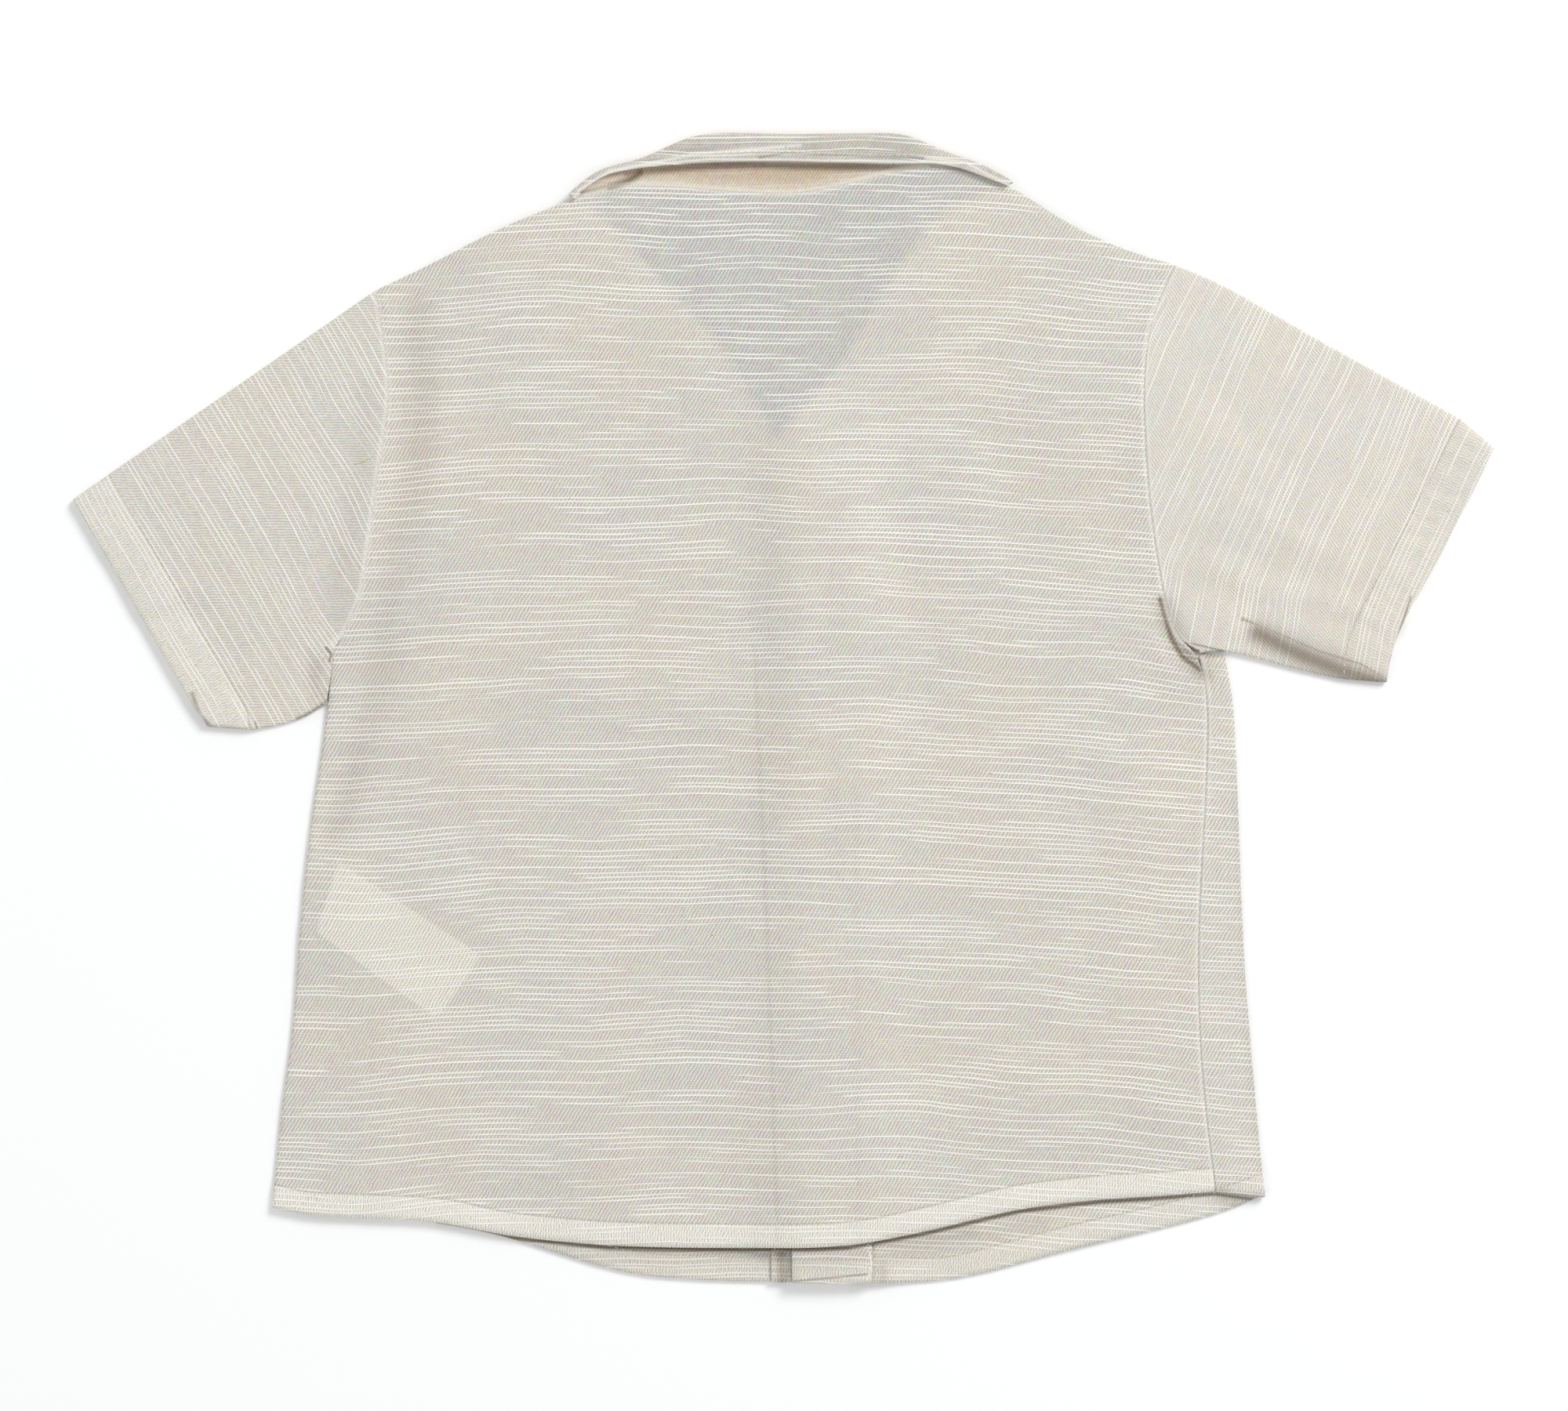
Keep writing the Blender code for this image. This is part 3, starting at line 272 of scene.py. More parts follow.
DUSK = [  # width in mm and strength, then the line: cloth that folds keep from the light
    (3.9, 0.82, [(1604, 808), (1645, 829), (1695, 850), (1745, 868), (1766, 878)]),
    (6.0, 0.15, [(532, 400), (526, 560), (506, 700), (486, 842), (462, 950), (430, 1060)]),
    (4.0, 0.20, [(404, 852), (400, 874), (412, 890)]),
    (5.0, 0.09, [(470, 500), (462, 600), (444, 700), (430, 780)]),
    (4.0, 0.40, [(1486, 776), (1502, 818), (1530, 850)]),
    (2.6, 0.60, [(1508, 826), (1524, 844), (1536, 862)]),
    (3.2, 0.28, [(1135, 1584), (1190, 1582), (1240, 1572)]),
    (2.4, 0.30, [(1120, 1600), (1126, 1630)]),
    (2.6, 0.40, [(1556, 1524), (1584, 1533), (1612, 1530)]),
    (2.2, 0.16, [(1578, 980), (1590, 1250), (1610, 1500)]),
    (4.0, 0.16, [(650, 1590), (790, 1606), (950, 1610), (1090, 1606), (1200, 1590), (1330, 1560)]),
]
for table in (CREASES, COLLAR_FOLDS, DUSK):
    for crease_row in table:
        crease_row[2][:] = dense(on_floor(crease_row[2])).tolist()
print("creases:", len(CREASES) + len(COLLAR_FOLDS))

# %% [markdown]
# ## Finer cloth
#
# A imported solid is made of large, loose triangles. Each copy is first welded, its
# pairs of triangles become four-sided faces, and its edges are creased so that the
# outline keeps its place. Subdivision then rounds the folds, and the wrinkles come
# last, as small moves up or down that reach only what stands off the floor.

# %% A finer copy of one solid
WELD = 1e-6                     # m
FLAT_ANGLE = math.radians(40)   # triangles that meet flatter than this become one face
FACE_ANGLE = math.radians(70)
EDGE_ANGLE = math.radians(48)   # edges sharper than this keep their place
EDGE_CREASE = 0.8


def finer_copy(node, name, levels):
    """The node's mesh, welded, in four-sided faces and subdivided, as a new object."""
    work = bmesh.new()
    work.from_mesh(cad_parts[node].data)
    bmesh.ops.remove_doubles(work, verts=work.verts[:], dist=WELD)
    bmesh.ops.join_triangles(work, faces=work.faces[:], angle_face_threshold=FLAT_ANGLE,
                             angle_shape_threshold=FACE_ANGLE)
    layer = work.edges.layers.float.new("crease_edge")
    for edge in work.edges:
        if len(edge.link_faces) == 2 and edge.calc_face_angle(0) > EDGE_ANGLE:
            edge[layer] = EDGE_CREASE
    mesh = bpy.data.meshes.new(name)
    work.to_mesh(mesh)
    work.free()
    thing = in_scene(name, mesh)
    finer = thing.modifiers.new("finer", "SUBSURF")
    finer.levels = finer.render_levels = levels
    settled(thing)
    return thing


def settled(thing):
    """Turns what the object's modifiers make into its own plain mesh."""
    graph = bpy.context.evaluated_depsgraph_get()
    made = bpy.data.meshes.new_from_object(thing.evaluated_get(graph))
    made.name = thing.name
    thing.modifiers.clear()
    thing.data = made


def points_of(thing):
    """The object's points in millimetres."""
    co = np.zeros(len(thing.data.vertices) * 3, np.float32)
    thing.data.vertices.foreach_get("co", co)
    return co.reshape(-1, 3).astype(float) / MM


def move_to(thing, points):
    thing.data.vertices.foreach_set("co", (points * MM).astype(np.float32).ravel())
    thing.data.update()


print("edges keep their place above", round(math.degrees(EDGE_ANGLE)), "degrees")

# %% Wrinkles
LIFT_FROM, LIFT_TO = 0.9, 2.6     # heights between which the wrinkles come in, mm
WAVES = 26
BROAD = (62.0, 0.24)              # wavelength and height of the slack, mm
FINE = (19.0, 0.09)
PUCKER = (7.5, 0.16, 9.0)         # wavelength, height and reach of the hems' puckers, mm
BEAT_DRIFT = (40.0, 2.5)          # over how many mm, and how far, the puckers fall out of step
CREASE_END = 0.3                  # the share of its length in which a crease fades
END_HEIGHT = 0.25                 # of its full height


def slack(xy, wavelength, seed):
    """A smooth random field between about -1 and 1, the same on every run."""
    rng = np.random.default_rng(seed)
    field = np.zeros(len(xy))
    for _ in range(WAVES):
        turn = rng.uniform(0, 2 * math.pi)
        scale = 2 * math.pi / (wavelength * rng.uniform(0.7, 1.5))
        field += np.sin(xy @ np.array([math.cos(turn), math.sin(turn)]) * scale
                        + rng.uniform(0, 2 * math.pi))
    return field / math.sqrt(WAVES)


def crease_field(table, xy):
    """The summed height of a table's creases at each point."""
    rise = np.zeros(len(xy))
    for width, height, line in table:
        away, share, _ = measured(np.array(line), xy)
        full = smooth(0, CREASE_END, share) * smooth(0, CREASE_END, 1 - share)
        rise += height * np.exp(-(away / width) ** 2) * (END_HEIGHT + (1 - END_HEIGHT) * full)
    return rise


def wrinkle(thing, table, hems=()):
    """Moves the parts of a piece that stand off the floor into creases, slack and puckers."""
    p = points_of(thing)
    xy = p[:, :2]
    rise = BROAD[1] * slack(xy, BROAD[0], 11) + FINE[1] * slack(xy, FINE[0], 12)
    rise += crease_field(table, xy)
    for hem in hems:
        away, share, _ = measured(hem, xy)
        drift = BEAT_DRIFT[1] * slack(xy, BEAT_DRIFT[0], 13)
        beat = np.sin(2 * math.pi * share * step_lengths(hem).sum() / PUCKER[0] + drift)
        rise += PUCKER[1] * beat * np.exp(-((away - PUCKER[2]) / PUCKER[2]) ** 2)
    p[:, 2] = np.maximum(p[:, 2] + rise * smooth(LIFT_FROM, LIFT_TO, p[:, 2]), 0)
    move_to(thing, p)


print("wrinkles in waves of", BROAD[0], "and", FINE[0], "mm")

# %% The panels
PANELS = [  # new name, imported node, levels, creases, hems with puckers
    ("back_panel", "back", 2, CREASES, [BACK_HEM]),
    ("left_front", "front_left", 2, CREASES, []),
    ("right_front", "front_right", 2, CREASES, []),
    ("left_facing", "facing_left", 2, CREASES, []),
    ("right_facing", "facing_right", 2, CREASES, []),
    ("left_lapel", "lapel_left", 2, [], []),
    ("right_lapel", "lapel_right", 2, [], []),
    ("left_sleeve", "sleeve_left", 3, CREASES, [SLEEVE_HEM_LEFT]),
    ("right_sleeve", "sleeve_right", 3, CREASES, [SLEEVE_HEM_RIGHT]),
    ("collar_fall", "collar", 3, COLLAR_FOLDS, []),
    ("left_collar_leaf", "collar_leaf_left", 2, [], []),
    ("right_collar_leaf", "collar_leaf_right", 2, [], []),
    ("blank_label", "care_label", 2, [], []),
]
made = {}
for name, node, levels, table, hems in PANELS:
    piece = finer_copy(node, name, levels)
    wrinkle(piece, table, hems)
    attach(piece, "root")
    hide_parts(node)
    made[name] = piece
    print(f"{name}: {len(piece.data.polygons)} faces")

# %% [markdown]
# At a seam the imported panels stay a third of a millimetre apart, so that each is a
# solid of its own. Sewn cloth has no such slit: here the cut edges of the sleeves, the
# collar and the right front slide a little further than that, under the back's.

# %% Seams drawn together
SEAM_GAP = 0.5           # mm
TUCK = 0.7
SEAM_REACH = 2.5
LEFT_TUCK = dense(on_floor([(436, 806), (424, 823), (420, 860), (417, 908)]))
JOINS = [("left_sleeve", ARMHOLE_LEFT, SEAM_GAP), ("left_sleeve", LEFT_TUCK, TUCK),
         ("right_sleeve", ARMHOLE_RIGHT, -SEAM_GAP), ("collar_fall", NECK_SEAM, -SEAM_GAP),
         ("right_front", SIDE_SEAM_RIGHT, SEAM_GAP)]     # mm, to the left of the line

for name, seam_line, inward in JOINS:
    piece = made[name]
    p = points_of(piece)
    away, share, _ = measured(seam_line, p[:, :2])
    tangents = directions(seam_line)
    steps = np.linspace(0, 1, len(seam_line))
    tx = np.interp(share, steps, tangents[:, 0])
    ty = np.interp(share, steps, tangents[:, 1])
    push = inward * smooth(0, SEAM_REACH, SEAM_REACH - away)
    p[:, 0] += -ty * push
    p[:, 1] += tx * push
    move_to(piece, p)
    print(f"{name}: {int((push != 0).sum())} points drawn in")

# %% [markdown]
# ## Where the weave runs
#
# Woven cloth shows its yarns, and they follow the cut: level on the body, and parallel
# to the hem on each sleeve. Every point gets a place along the weft and across it, in
# millimetres, and the material draws its yarns in those. The rows aren't quite
# straight on a worn, laid shirt, so the body's rows rise and sag a little as shown.

# %% Weft rows
ROW_RISE = [  # pixels: column of the photograph, how far the rows have risen there
    (340, 0), (450, 0), (560, 7), (660, 12), (900, 14), (1100, 14), (1250, 8), (1400, -2),
    (1530, -13), (1620, -20)]
SLEEVE_ROWS = {"left_sleeve": SLEEVE_HEM_LEFT, "right_sleeve": SLEEVE_HEM_RIGHT}
ROW_SAG = 2.2            # how far the rows sag between the shoulders, mm
SAG_HEIGHT = 140.0       # where on the back that is, and how far it reaches, mm
SAG_REACH = (42.0, 38.0)
BODY_WAVE = (55.0, 0.5)  # wavelength and height of the rows' waves, mm
SLEEVE_WAVE = (60.0, 0.6)
PIECE_STEP = 37.0        # keeps each piece's pattern apart from the next one's


def body_rows(xy, seed):
    columns = on_floor([(column, 0) for column, _ in ROW_RISE])[:, 0]
    rise = np.array([r for _, r in ROW_RISE]) / PIXELS_PER_MM
    sag = ROW_SAG * np.exp(-(xy[:, 0] / SAG_REACH[0]) ** 2 - ((xy[:, 1] - SAG_HEIGHT) / SAG_REACH[1]) ** 2)
    shift = np.interp(xy[:, 0], columns, rise) - sag + BODY_WAVE[1] * slack(xy, BODY_WAVE[0], seed)
    return np.stack([xy[:, 0], xy[:, 1] - shift], 1)


SLEEVE_FOLD = on_floor([(1486, 716), (1800, 806)])     # the right sleeve turns down below it
FOLD_TURN = 0.26


def sleeve_rows(xy, hem, seed):
    along = hem[-1] - hem[0]
    along /= np.linalg.norm(along)
    across = np.array([-along[1], along[0]])
    bend = SLEEVE_WAVE[1] * slack(xy, SLEEVE_WAVE[0], seed)
    if hem[0, 0] > 0:
        way = (SLEEVE_FOLD[1] - SLEEVE_FOLD[0]) / np.linalg.norm(SLEEVE_FOLD[1] - SLEEVE_FOLD[0])
        below = (xy - SLEEVE_FOLD[0]) @ np.array([way[1], -way[0]])
        bend = bend - FOLD_TURN * np.maximum(below, 0)
    return np.stack([(xy - hem[0]) @ along, (xy - hem[0]) @ across + bend], 1)


def store(thing, name, values, kind="FLOAT"):
    """Keeps a value for each point, where the material can read it."""
    layer = thing.data.attributes.new(name, kind, "POINT")
    field = "vector" if kind == "FLOAT_VECTOR" else "value"
    layer.data.foreach_set(field, np.ascontiguousarray(values, np.float32).ravel())


for k, (name, piece) in enumerate(made.items()):
    xy = points_of(piece)[:, :2]
    rows = (sleeve_rows(xy, SLEEVE_ROWS[name], k) if name in SLEEVE_ROWS
            else body_rows(xy, k))
    store(piece, "weave", np.column_stack([rows, np.full(len(rows), PIECE_STEP * k)]), "FLOAT_VECTOR")
print("weave set on", len(made), "pieces")

# %% [markdown]
# ## Distances that the colours need
#
# A hem is two layers of cloth, so it looks paler up to its row of stitches, and the groove
# of a seam is painted as a thin dark line of shade. The layers inside also show through the
# thin back: greyer where the open neck has one layer only, and paler over the label. Each is
# kept as a plain distance in millimetres, which stays exact between points.

# %% Hems and seams
FAR = 60.0
HEMS = {
    "back_panel": [BACK_HEM], "left_front": [FRONT_HEM], "right_front": [FRONT_HEM],
    "left_facing": [FRONT_HEM], "right_facing": [FRONT_HEM], "left_sleeve": [SLEEVE_HEM_LEFT],
    "right_sleeve": [SLEEVE_HEM_RIGHT]}
SEAMS = {
    "back_panel": [ARMHOLE_LEFT, ARMHOLE_RIGHT, SIDE_SEAM_RIGHT, NECK_SEAM],
    "right_front": [SIDE_SEAM_RIGHT], "left_sleeve": [ARMHOLE_LEFT],
    "right_sleeve": [ARMHOLE_RIGHT], "collar_fall": [NECK_SEAM]}
# The seams' grooves get painted shade; these say how dark it is.
SEAM_GROOVE = {  # how dark the seam's line is, and the height that it starts at, mm
    "right_front": (0.45, -400), "right_sleeve": (0.45, -400), "left_sleeve": (0.25, 70)}


def nearest(lines, xy):
    return np.min([measured(line, xy)[0] for line in lines] + [np.full(len(xy), FAR)], axis=0)


for name, piece in made.items():
    xy = points_of(piece)[:, :2]
    store(piece, "hem", nearest(HEMS.get(name, []), xy))
    store(piece, "seam", nearest(SEAMS.get(name, []), xy))
    groove_strength, groove_start = SEAM_GROOVE.get(name, (0, 0))
    store(piece, "groove", groove_strength * (xy[:, 1] > groove_start))
    # Painted shade of the folds, from DUSK, kept for each point.
    dusk = [strength * np.exp(-(measured(np.array(line), xy)[0] / width) ** 2)
            for width, strength, line in DUSK]
    store(piece, "dusk", np.max(dusk, axis=0))
print("hem and seam distances stored")

# %% Show-through on the back
back_xy = points_of(made["back_panel"])[:, :2]
left_away, _, left_side = measured(NECK_OPENING[0], back_xy)
right_away, _, right_side = measured(NECK_OPENING[1], back_xy)
store(made["back_panel"], "open_neck",
      np.minimum(-left_away * left_side, right_away * right_side))
inside_label = np.full(len(back_xy), FAR)
for a, b in zip(LABEL_CORNERS, np.roll(LABEL_CORNERS, -1, axis=0)):
    edge = (b - a) / np.linalg.norm(b - a)
    inside_label = np.minimum(inside_label, (back_xy - a) @ np.array([-edge[1], edge[0]]))
store(made["back_panel"], "label", inside_label)
print("points over the label:", int((inside_label > 0).sum()))

# %% The collar's stand
STAND_DEPTH = 1.6     # how far below the fall the stand lies, at least, mm
BIN = 4.0             # the collar's crest is found in strips this wide, mm

collar = points_of(made["collar_fall"])
bins = np.round(collar[:, 0] / BIN).astype(int)
crest = {b: collar[bins == b, 2].max() for b in np.unique(bins)}
below = np.array([crest[b] for b in bins]) - collar[:, 2]
store(made["collar_fall"], "stand", smooth(STAND_DEPTH, STAND_DEPTH + 1.0, below))
print("collar points in the stand:", int((below > STAND_DEPTH + 1).sum()))

# %% [markdown]
# ## The cotton
#
# Three things make this cloth: a steep, fine twill, thick white weft yarns that come
# and go along their row, and a soft unevenness of colour. A row number picks each
# yarn's own stretch of noise, so a yarn starts, swells and ends by itself, and a slower
# noise gathers them into bands. The same pattern also drives a low relief.

# %% Helpers for nodes
def srgb(red, green, blue):
    """A colour from 0 to 255 on the screen, as the linear colour that a material takes."""
    def linear(v):
        v /= 255
        return v / 12.92 if v <= 0.04045 else ((v + 0.055) / 1.055) ** 2.4
    return (linear(red), linear(green), linear(blue), 1)


def fill(tree, node, inputs):
    """Links or sets the node's inputs that are given, by their names or numbers."""
    for key, value in dict(inputs).items():
        if isinstance(value, bpy.types.NodeSocket):
            tree.links.new(value, node.inputs[key])
        else:
            node.inputs[key].default_value = value


def add(tree, kind, inputs=(), **settings):
    """A new node with its settings and inputs."""
    node = tree.nodes.new(kind)
    for key, setting in settings.items():
        setattr(node, key, setting)
    fill(tree, node, inputs)
    return node


def new_tree(name, kind, inputs, outputs):
    """An empty tree with named inputs and outputs, the sockets it is given and those it fills."""
    tree = bpy.data.node_groups.new(name, kind)
    for way, sockets in (("INPUT", inputs), ("OUTPUT", outputs)):
        for label, socket in sockets.items():
            tree.interface.new_socket(label, in_out=way, socket_type="NodeSocket" + socket)
    given, out = add(tree, "NodeGroupInput"), add(tree, "NodeGroupOutput")
    return tree, given.outputs, out.inputs


class Finish:
    """A material's node tree, with short calls for its maths."""

    def __init__(self, name):
        self.material = bpy.data.materials.new(name)
        self.material.use_nodes = True
        self.tree = self.material.node_tree
        self.shader = self.tree.nodes["Principled BSDF"]

    def paint(self, inputs):
        fill(self.tree, self.shader, inputs)

    def here(self):
        """The point's place on the object, in metres."""
        return add(self.tree, "ShaderNodeTexCoord").outputs["Object"]

    def value(self, name):
        return add(self.tree, "ShaderNodeAttribute", attribute_name=name).outputs["Fac"]

    def weave(self):
        """The point's place along and across the weft in mm, and the piece's own number."""
        place = add(self.tree, "ShaderNodeAttribute", attribute_name="weave").outputs["Vector"]
        return place, *add(self.tree, "ShaderNodeSeparateXYZ", {0: place}).outputs

    def math(self, operation, *values):
        return add(self.tree, "ShaderNodeMath", enumerate(values), operation=operation).outputs[0]

    def plus(self, *values):
        return reduce(lambda one, other: self.math("ADD", one, other), values)

    def times(self, *values):
        return reduce(lambda one, other: self.math("MULTIPLY", one, other), values)

    def ramp(self, value, low, high, to_low=0.0, to_high=1.0):
        inputs = {"Value": value, "From Min": low, "From Max": high, "To Min": to_low, "To Max": to_high}
        return add(self.tree, "ShaderNodeMapRange", inputs,
                   interpolation_type="SMOOTHSTEP").outputs["Result"]

    def join(self, x, y, z):
        return add(self.tree, "ShaderNodeCombineXYZ", enumerate((x, y, z))).outputs[0]

    def noise(self, vector, scale=1.0, detail=2.0, roughness=0.5, output="Fac"):
        inputs = {"Scale": scale, "Detail": detail, "Roughness": roughness, "Vector": vector}
        return add(self.tree, "ShaderNodeTexNoise", inputs).outputs[output]

    def mix(self, amount, one, other, blend="MIX"):
        return add(self.tree, "ShaderNodeMix", {0: amount, 6: one, 7: other}, data_type="RGBA",
                   blend_type=blend).outputs[2]

    def bump(self, height, depth, strength=0.6):
        inputs = {"Strength": strength, "Distance": depth, "Height": height}
        self.paint({"Normal": add(self.tree, "ShaderNodeBump", inputs).outputs["Normal"]})


print("white in a material:", srgb(255, 255, 255)[0])

# %% Thick yarns and twill
BODY_YARNS = (1.9, 0.30, 56.0)     # row pitch, half a thick yarn's width, typical length, mm
SLEEVE_YARNS = (1.75, 0.27, 90.0)
COLLAR_YARNS = (1.5, 0.27, 90.0)
BAND = (70.0, 11.0)      # size of a gathering of thick yarns, along and across, mm
BODY_TWILL = (1.17, 0.25)    # between two twill lines, mm, and how much it shades the cloth
SLEEVE_TWILL = (0.98, 0.19)
TWILL_LEAN = math.radians(60)
PICK = 0.78              # between two plain weft yarns, mm
WANDER = (0.035, 1.5)    # how often each mm, and how far in mm, the rows wander
TREMBLE = (0.35, 0.16)
YARN_START = 0.56        # how high its noise is where a thick yarn starts, less in a gathering
BAND_PULL = 0.26
YARN_TAPER = 0.11
THINNEST, FAINTEST = 0.55, 0.75     # of the full width and of the full whiteness
ROW_JITTER = 0.4         # share of the pitch by which a yarn may leave its row's middle
ROW_STEP = 3.71          # keeps each row's stretch of noise apart from the next one's
SECOND_DRAW = 7.3        # makes a second chance of a row's first one
TWILL_BEND = (0.3, 0.8)  # how often each mm, and how far in mm, the ridges bend
RIDGE, RIDGE_PICK, BARE_PICK = 0.9, 0.5, 0.3     # how much each adds to the twill


def thick_yarns(s, yarns):
    """How much of a thick yarn lies at each point, from 0 to 1."""
    row_pitch, half_width, run = yarns
    place, along, across, seed = s.weave()
    wander = s.times(s.plus(s.noise(place, WANDER[0], 2.0), -0.5), WANDER[1])
    tremble = s.times(s.plus(s.noise(place, TREMBLE[0], 1.0), -0.5), TREMBLE[1])
    rows = s.math("DIVIDE", s.plus(across, wander, tremble), row_pitch)
    row = s.math("FLOOR", rows)
    chance = add(s.tree, "ShaderNodeTexWhiteNoise", {"W": row}, noise_dimensions="1D").outputs["Value"]
    middle = s.plus(s.times(s.plus(chance, -0.5), ROW_JITTER), 0.5)
    away = s.math("ABSOLUTE", s.times(s.math("SUBTRACT", s.math("FRACT", rows), middle), row_pitch))
    own = s.join(s.math("DIVIDE", along, run), s.times(row, ROW_STEP), seed)
    band = s.noise(s.join(s.math("DIVIDE", along, BAND[0]), s.math("DIVIDE", across, BAND[1]), seed))
    cut = s.math("SUBTRACT", YARN_START, s.times(band, BAND_PULL))
    strength = s.ramp(s.noise(own, 1.0, 2.0, 0.6), cut, s.plus(cut, YARN_TAPER))
    width = s.times(s.plus(s.times(strength, 1 - THINNEST), THINNEST), half_width)
    other_chance = s.math("FRACT", s.times(chance, SECOND_DRAW))
    whiteness = s.plus(s.times(other_chance, 1 - FAINTEST), FAINTEST)
    return s.times(strength, whiteness, s.ramp(away, s.times(width, 0.5), s.times(width, 1.4), 1.0, 0.0))


def twill(s, pitch):
    """The twill's low ridges and the picks that break them up, from -1 to 1."""
    place, along, across, _ = s.weave()
    slant = s.plus(s.times(along, math.sin(TWILL_LEAN)), s.times(across, -math.cos(TWILL_LEAN)),
                   s.times(s.noise(place, TWILL_BEND[0], 1.0), TWILL_BEND[1]))
    ridge = s.math("SINE", s.times(slant, 2 * math.pi / pitch))
    pick = s.math("SINE", s.times(across, 2 * math.pi / PICK))
    return s.plus(s.times(ridge, RIDGE), s.times(ridge, pick, RIDGE_PICK), s.times(pick, BARE_PICK))


print("thick yarns every", BODY_YARNS[0], "mm at most")

# %% [markdown]
# Thin dark lines, mostly painted shade such as the pinch at an underarm or the slit of a
# sleeve's opening, are finer than the mesh. The material measures how far each point lies
# from the line between two places and draws it by that distance, exact however close one looks.

# %% Distance to a line, as a node group
def line_group():
    """A node group that measures the distance, in mm, to the line between two places."""
    tree, given, out = new_tree("distance_to_line", "ShaderNodeTree",
                                {"Start": "Vector", "End": "Vector"}, {"Distance": "Float"})

    def vector(operation, *values):
        return add(tree, "ShaderNodeVectorMath", enumerate(values), operation=operation).outputs

    here = vector("MULTIPLY", add(tree, "ShaderNodeTexCoord").outputs["Object"], (1 / MM, 1 / MM, 0))
    from_start = vector("SUBTRACT", here[0], given["Start"])
    whole = vector("SUBTRACT", given["End"], given["Start"])
    part = vector("DOT_PRODUCT", from_start[0], whole[0])
    size = vector("DOT_PRODUCT", whole[0], whole[0])
    share = add(tree, "ShaderNodeMath", {0: part["Value"], 1: size["Value"]}, operation="DIVIDE",
                use_clamp=True)
    reached = add(tree, "ShaderNodeVectorMath", {0: whole[0], "Scale": share.outputs[0]},
                  operation="SCALE")
    off = vector("SUBTRACT", from_start[0], reached.outputs[0])
    tree.links.new(vector("LENGTH", off[0])["Value"], out[0])
    return tree


TO_LINE = line_group()


def line_mark(s, half_width, strength, pixels):
    """A soft line through the pixels: its strength on the line, fading to 0 beside it."""
    corners = [(*corner, 0) for corner in on_floor(pixels)]
    nearest_one = None
    for a, b in zip(corners[:-1], corners[1:]):
        far = add(s.tree, "ShaderNodeGroup", {"Start": a, "End": b}, node_tree=TO_LINE).outputs[0]
        nearest_one = far if nearest_one is None else s.math("MINIMUM", nearest_one, far)
    return s.ramp(nearest_one, 0.0, half_width, strength, 0.0)


# Mostly painted shade: the dark in pinches, slits, gaps and under edges, and a dark thread end on the left
# sleeve.
THIN_LINES = {  # half width in mm and strength, then the pixels
    "back": [
        (2.3, 0.95, [(1480, 765), (1487, 790), (1494, 815), (1508, 838), (1531, 855)]),
        (1.0, 0.45, [(1500, 818), (1530, 834), (1537, 852)]),
        (0.6, 0.20, [(393, 1528), (402, 1524), (406, 1532)]),
        (1.6, 0.10, [(962, 822), (978, 1180), (992, 1580)]),
        (2.4, 0.04, [(1091, 970), (1094, 1580)]),
        (2.4, 0.05, [(775, 931), (982, 936)])],
    "left_sleeve": [
        (0.5, 0.35, [(452, 594), (462, 591), (476, 584)]),
        (1.0, 0.75, [(417, 827), (423, 834), (421, 843)]),
        (1.5, 0.55, [(246, 885), (256, 914), (272, 929), (330, 934)]),
        (1.6, 0.60, [(380, 918), (400, 908), (420, 892)]),
        (0.5, 0.60, [(326, 921), (329, 932)])],
    "right_sleeve": [
        (0.7, 0.65, [(1507, 819), (1532, 824), (1560, 831)]),
        (0.8, 0.60, [(1798, 762), (1786, 800), (1775, 840)]),
        (1.3, 0.55, [(1484, 758), (1494, 790), (1505, 815)]),
        (1.4, 0.55, [(1584, 790), (1628, 808), (1681, 831), (1735, 848), (1764, 865)])],
    "front": [
        (1.6, 1.00, [(560, 1561), (645, 1578), (776, 1591), (949, 1594), (1083, 1590)]),
        (1.5, 0.90, [(1083, 1590), (1178, 1574), (1300, 1545), (1403, 1533), (1467, 1529)]),
        (1.3, 0.80, [(1467, 1529), (1550, 1523), (1612, 1532)]),
        (0.8, 0.55, [(1013, 1633), (1105, 1624)]),
        (2.6, 0.85, [(778, 241), (800, 232), (817, 221)]),
        (3.8, 0.60, [(996, 1592), (997, 1634)]),
        (0.5, 0.25, [(984, 1590), (984, 1634)]),
        (0.6, 0.35, [(1009, 1590), (1010, 1634)]),
        (1.5, 0.45, [(1532, 838), (1566, 835)])],
    "collar": [
        (0.7, 0.40, [(968, 203), (1000, 197), (1180, 204)]),
        (0.6, 0.30, [(800, 208), (940, 195)]),
        (1.2, 0.65, [(742, 247), (788, 236)]),
        (2.6, 0.95, [(778, 241), (800, 232), (817, 221)]),
        (2.2, 0.50, [(800, 224), (872, 215), (949, 211), (1180, 216)]),
        (1.6, 0.80, [(1188, 214), (1224, 217), (1286, 242)])]}
PALE_LINES = {  # the turned edges that catch the light, and the loose threads' glint
    "collar": [
        (1.2, 0.55, [(738, 245), (778, 220), (881, 199), (1020, 187)]),
        (0.9, 0.60, [(812, 213), (905, 205), (1180, 208)]),
        (1.0, 0.50, [(1180, 203), (1230, 208), (1290, 240)])],
    "front": [(0.7, 0.70, [(1106, 1632), (1112, 1612), (1109, 1596)])]}
print("thin lines:", sum(len(lines) for lines in THIN_LINES.values()))

